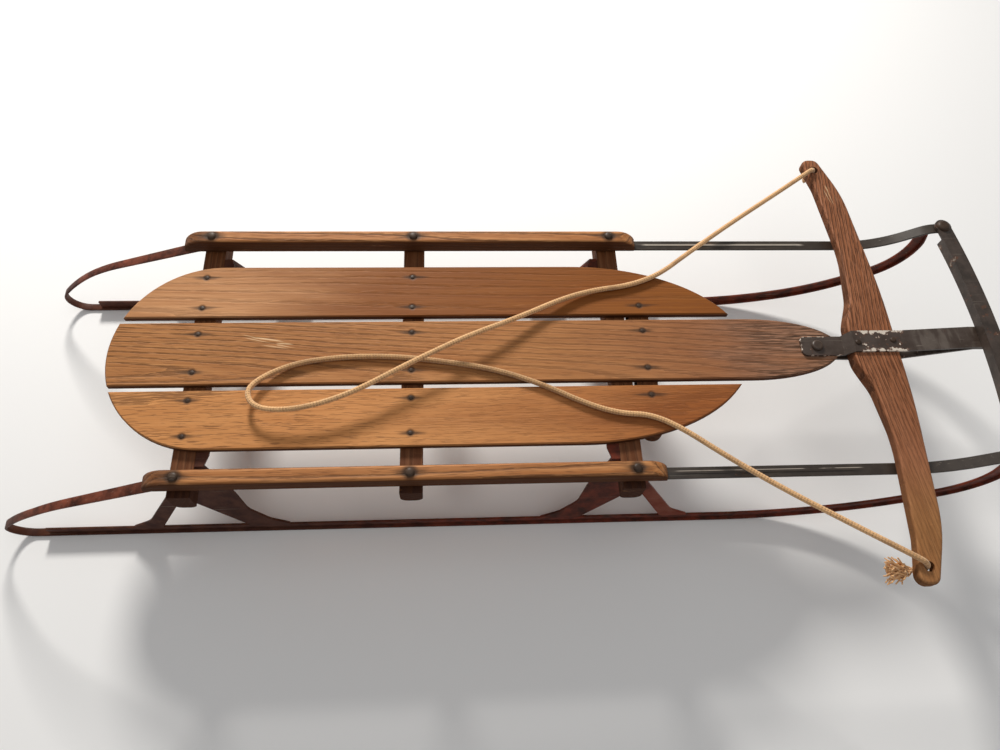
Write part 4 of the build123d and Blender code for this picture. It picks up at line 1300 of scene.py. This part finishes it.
class SLED_OT_fittings(bpy.types.Operator):
    """Finishes the knees, straps, pivot bolt and bumper in worn paint and steel"""

    bl_idname = "sled.fittings"
    bl_label = "Fittings"

    def execute(self, context):
        metal = context.scene.sled_metal
        knees = metal_material(
            "knee_old_red", metal.red, metal.red_dark, metal.bare, 3.0, wear=0.16, size=55.0,
            faded_from=(along(0.800), along(0.830)), specular=0.2,
        )
        dress([f"knee_{end}_{side}" for end in ("rear", "front") for side, _ in SIDES], knees)
        straps = metal_material(
            "strap_chipped", metal.grey, metal.nail, metal.chip, 8.0, wear=0.18, size=135.0, rough=0.32,
            chipped=(along(1.084), along(1.142), 0.0145),
        )
        dress(["strap_upper", "strap_lower"], straps)
        bumper = metal_material(
            "bumper_grey", metal.grey, metal.black, metal.bare, 9.0, wear=0.35, size=60.0, rough=0.3,
        )
        dress(["front_bumper"], bumper)
        bolt = metal_material(
            "bolt_dark", metal.nail_dirt, metal.nail, metal.bare, 12.0, wear=0.25, size=150.0, rough=0.3,
        )
        dress(["pivot_bolt"], bolt)
        return {"FINISHED"}


class SLED_OT_hardware(bpy.types.Operator):
    """Sets the nails, bolts, nuts and rivets"""

    bl_idname = "sled.hardware"
    bl_label = "Nails, bolts and rivets"

    def execute(self, context):
        hardware, metal = context.scene.sled_hardware, context.scene.sled_metal
        iron = metal_material(
            "nail_iron", metal.nail, metal.nail_dirt, metal.bare, 15.0, wear=0.10, size=260.0, rough=0.34,
            specular=0.22,
        )
        spread_tree()
        up, down = (0.0, 0.0, 1.0), (0.0, 0.0, -1.0)
        nails = [
            ((along(station), sign * offset, DECK_TOP), up)
            for row, station in enumerate(NAIL_STATIONS) for line, offset in enumerate(NAIL_OFFSETS)
            for _, sign in SIDES if (row, line) != (2, 2)
        ]
        bench_bottoms = [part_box("bench_" + name)[0][2] for name in ("rear", "middle", "front")]
        benches = list(zip(RAIL_BOLT_STATIONS, bench_bottoms))
        tops = [((along(s), sign * RAIL_OFFSET, RAIL_TOP), up) for s, _ in benches for _, sign in SIDES]
        nuts = [((along(s), sign * RAIL_OFFSET, low), down) for s, low in benches for _, sign in SIDES]
        rivets = [
            ((along(s), y, height), facing)
            for height, facing in ((STRAP_TOP, up), (STRAP_BOTTOM, down)) for s, y in STRAP_RIVETS
        ]
        eye_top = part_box("front_bumper")[1][2]
        eyes = [((along(BUMPER_EYE), sign * RAIL_OFFSET, eye_top), up) for _, sign in SIDES]
        bolt_profile = [(r * BOLT_PATTERN, h * BOLT_PATTERN) for r, h in HEAD_DOME]
        rivet_profile = [(r * RIVET_PATTERN, h * RIVET_PATTERN) for r, h in HEAD_DOME]
        nail = turned_head("nail head", NAIL_PROFILE, 14, iron)
        bolt = turned_head("bolt head", bolt_profile, 20, iron)
        nut = turned_head("nut", NUT_PROFILE, 6, iron)
        rivet = turned_head("rivet head", rivet_profile, 16, iron)
        for name, pattern, spots, body, tilt, size in (
            ("deck_nails", nail, nails, "frame", 0.06, hardware.nail / NAIL_PATTERN),
            ("bench_nuts", nut, nuts, "frame", 0.02, 1.0),
            ("rail_bolts", bolt, tops, "frame", 0.04, hardware.rail_bolt / BOLT_PATTERN),
            ("strap_rivets", rivet, rivets, "steering", 0.04, hardware.rivet / RIVET_PATTERN),
            ("bumper_bolts", bolt, eyes, "bumper", 0.03, hardware.eye_bolt / BOLT_PATTERN),
        ):
            spread_heads(name, pattern, spots, body, iron, tilt, size)
        for pattern in (nail, bolt, nut, rivet):
            discard(pattern)
        return {"FINISHED"}


class SLED_PT_panel(bpy.types.Panel):
    """Lists the sled's pieces and their sizes and colours"""

    bl_idname = "SLED_PT_panel"
    bl_label = "Steerable sled"
    bl_space_type = "VIEW_3D"
    bl_region_type = "UI"
    bl_category = "Sled"

    def draw(self, context):
        layout = self.layout
        for operator in OPERATORS:
            layout.operator(operator.bl_idname)
        for name, settings in SETTINGS.items():
            box = layout.box()
            box.label(text=name.replace("_", " ").capitalize())
            for key in settings.__annotations__:
                box.prop(getattr(context.scene, name), key)


OPERATORS = (
    SLED_OT_stage,
    SLED_OT_pull_rope,
    SLED_OT_woodwork,
    SLED_OT_runners,
    SLED_OT_side_bars,
    SLED_OT_fittings,
    SLED_OT_hardware,
)


def register():
    """Adds the settings, operators and panel."""
    for cls in (*SETTINGS.values(), *OPERATORS, SLED_PT_panel):
        bpy.utils.register_class(cls)
    for name, settings in SETTINGS.items():
        setattr(bpy.types.Scene, name, bpy.props.PointerProperty(type=settings))


def unregister():
    """Removes the settings, operators and panel."""
    for name in SETTINGS:
        delattr(bpy.types.Scene, name)
    for cls in reversed((*SETTINGS.values(), *OPERATORS, SLED_PT_panel)):
        bpy.utils.unregister_class(cls)


def main():
    """Builds the sled."""
    register()
    grain_group()
    head_stain_group()
    scratches_group()
    chips_group()
    bpy.ops.sled.stage()
    bpy.ops.sled.pull_rope()
    bpy.ops.sled.woodwork()
    bpy.ops.sled.runners()
    bpy.ops.sled.side_bars()
    bpy.ops.sled.fittings()
    bpy.ops.sled.hardware()


if __name__ == "__main__":
    main()
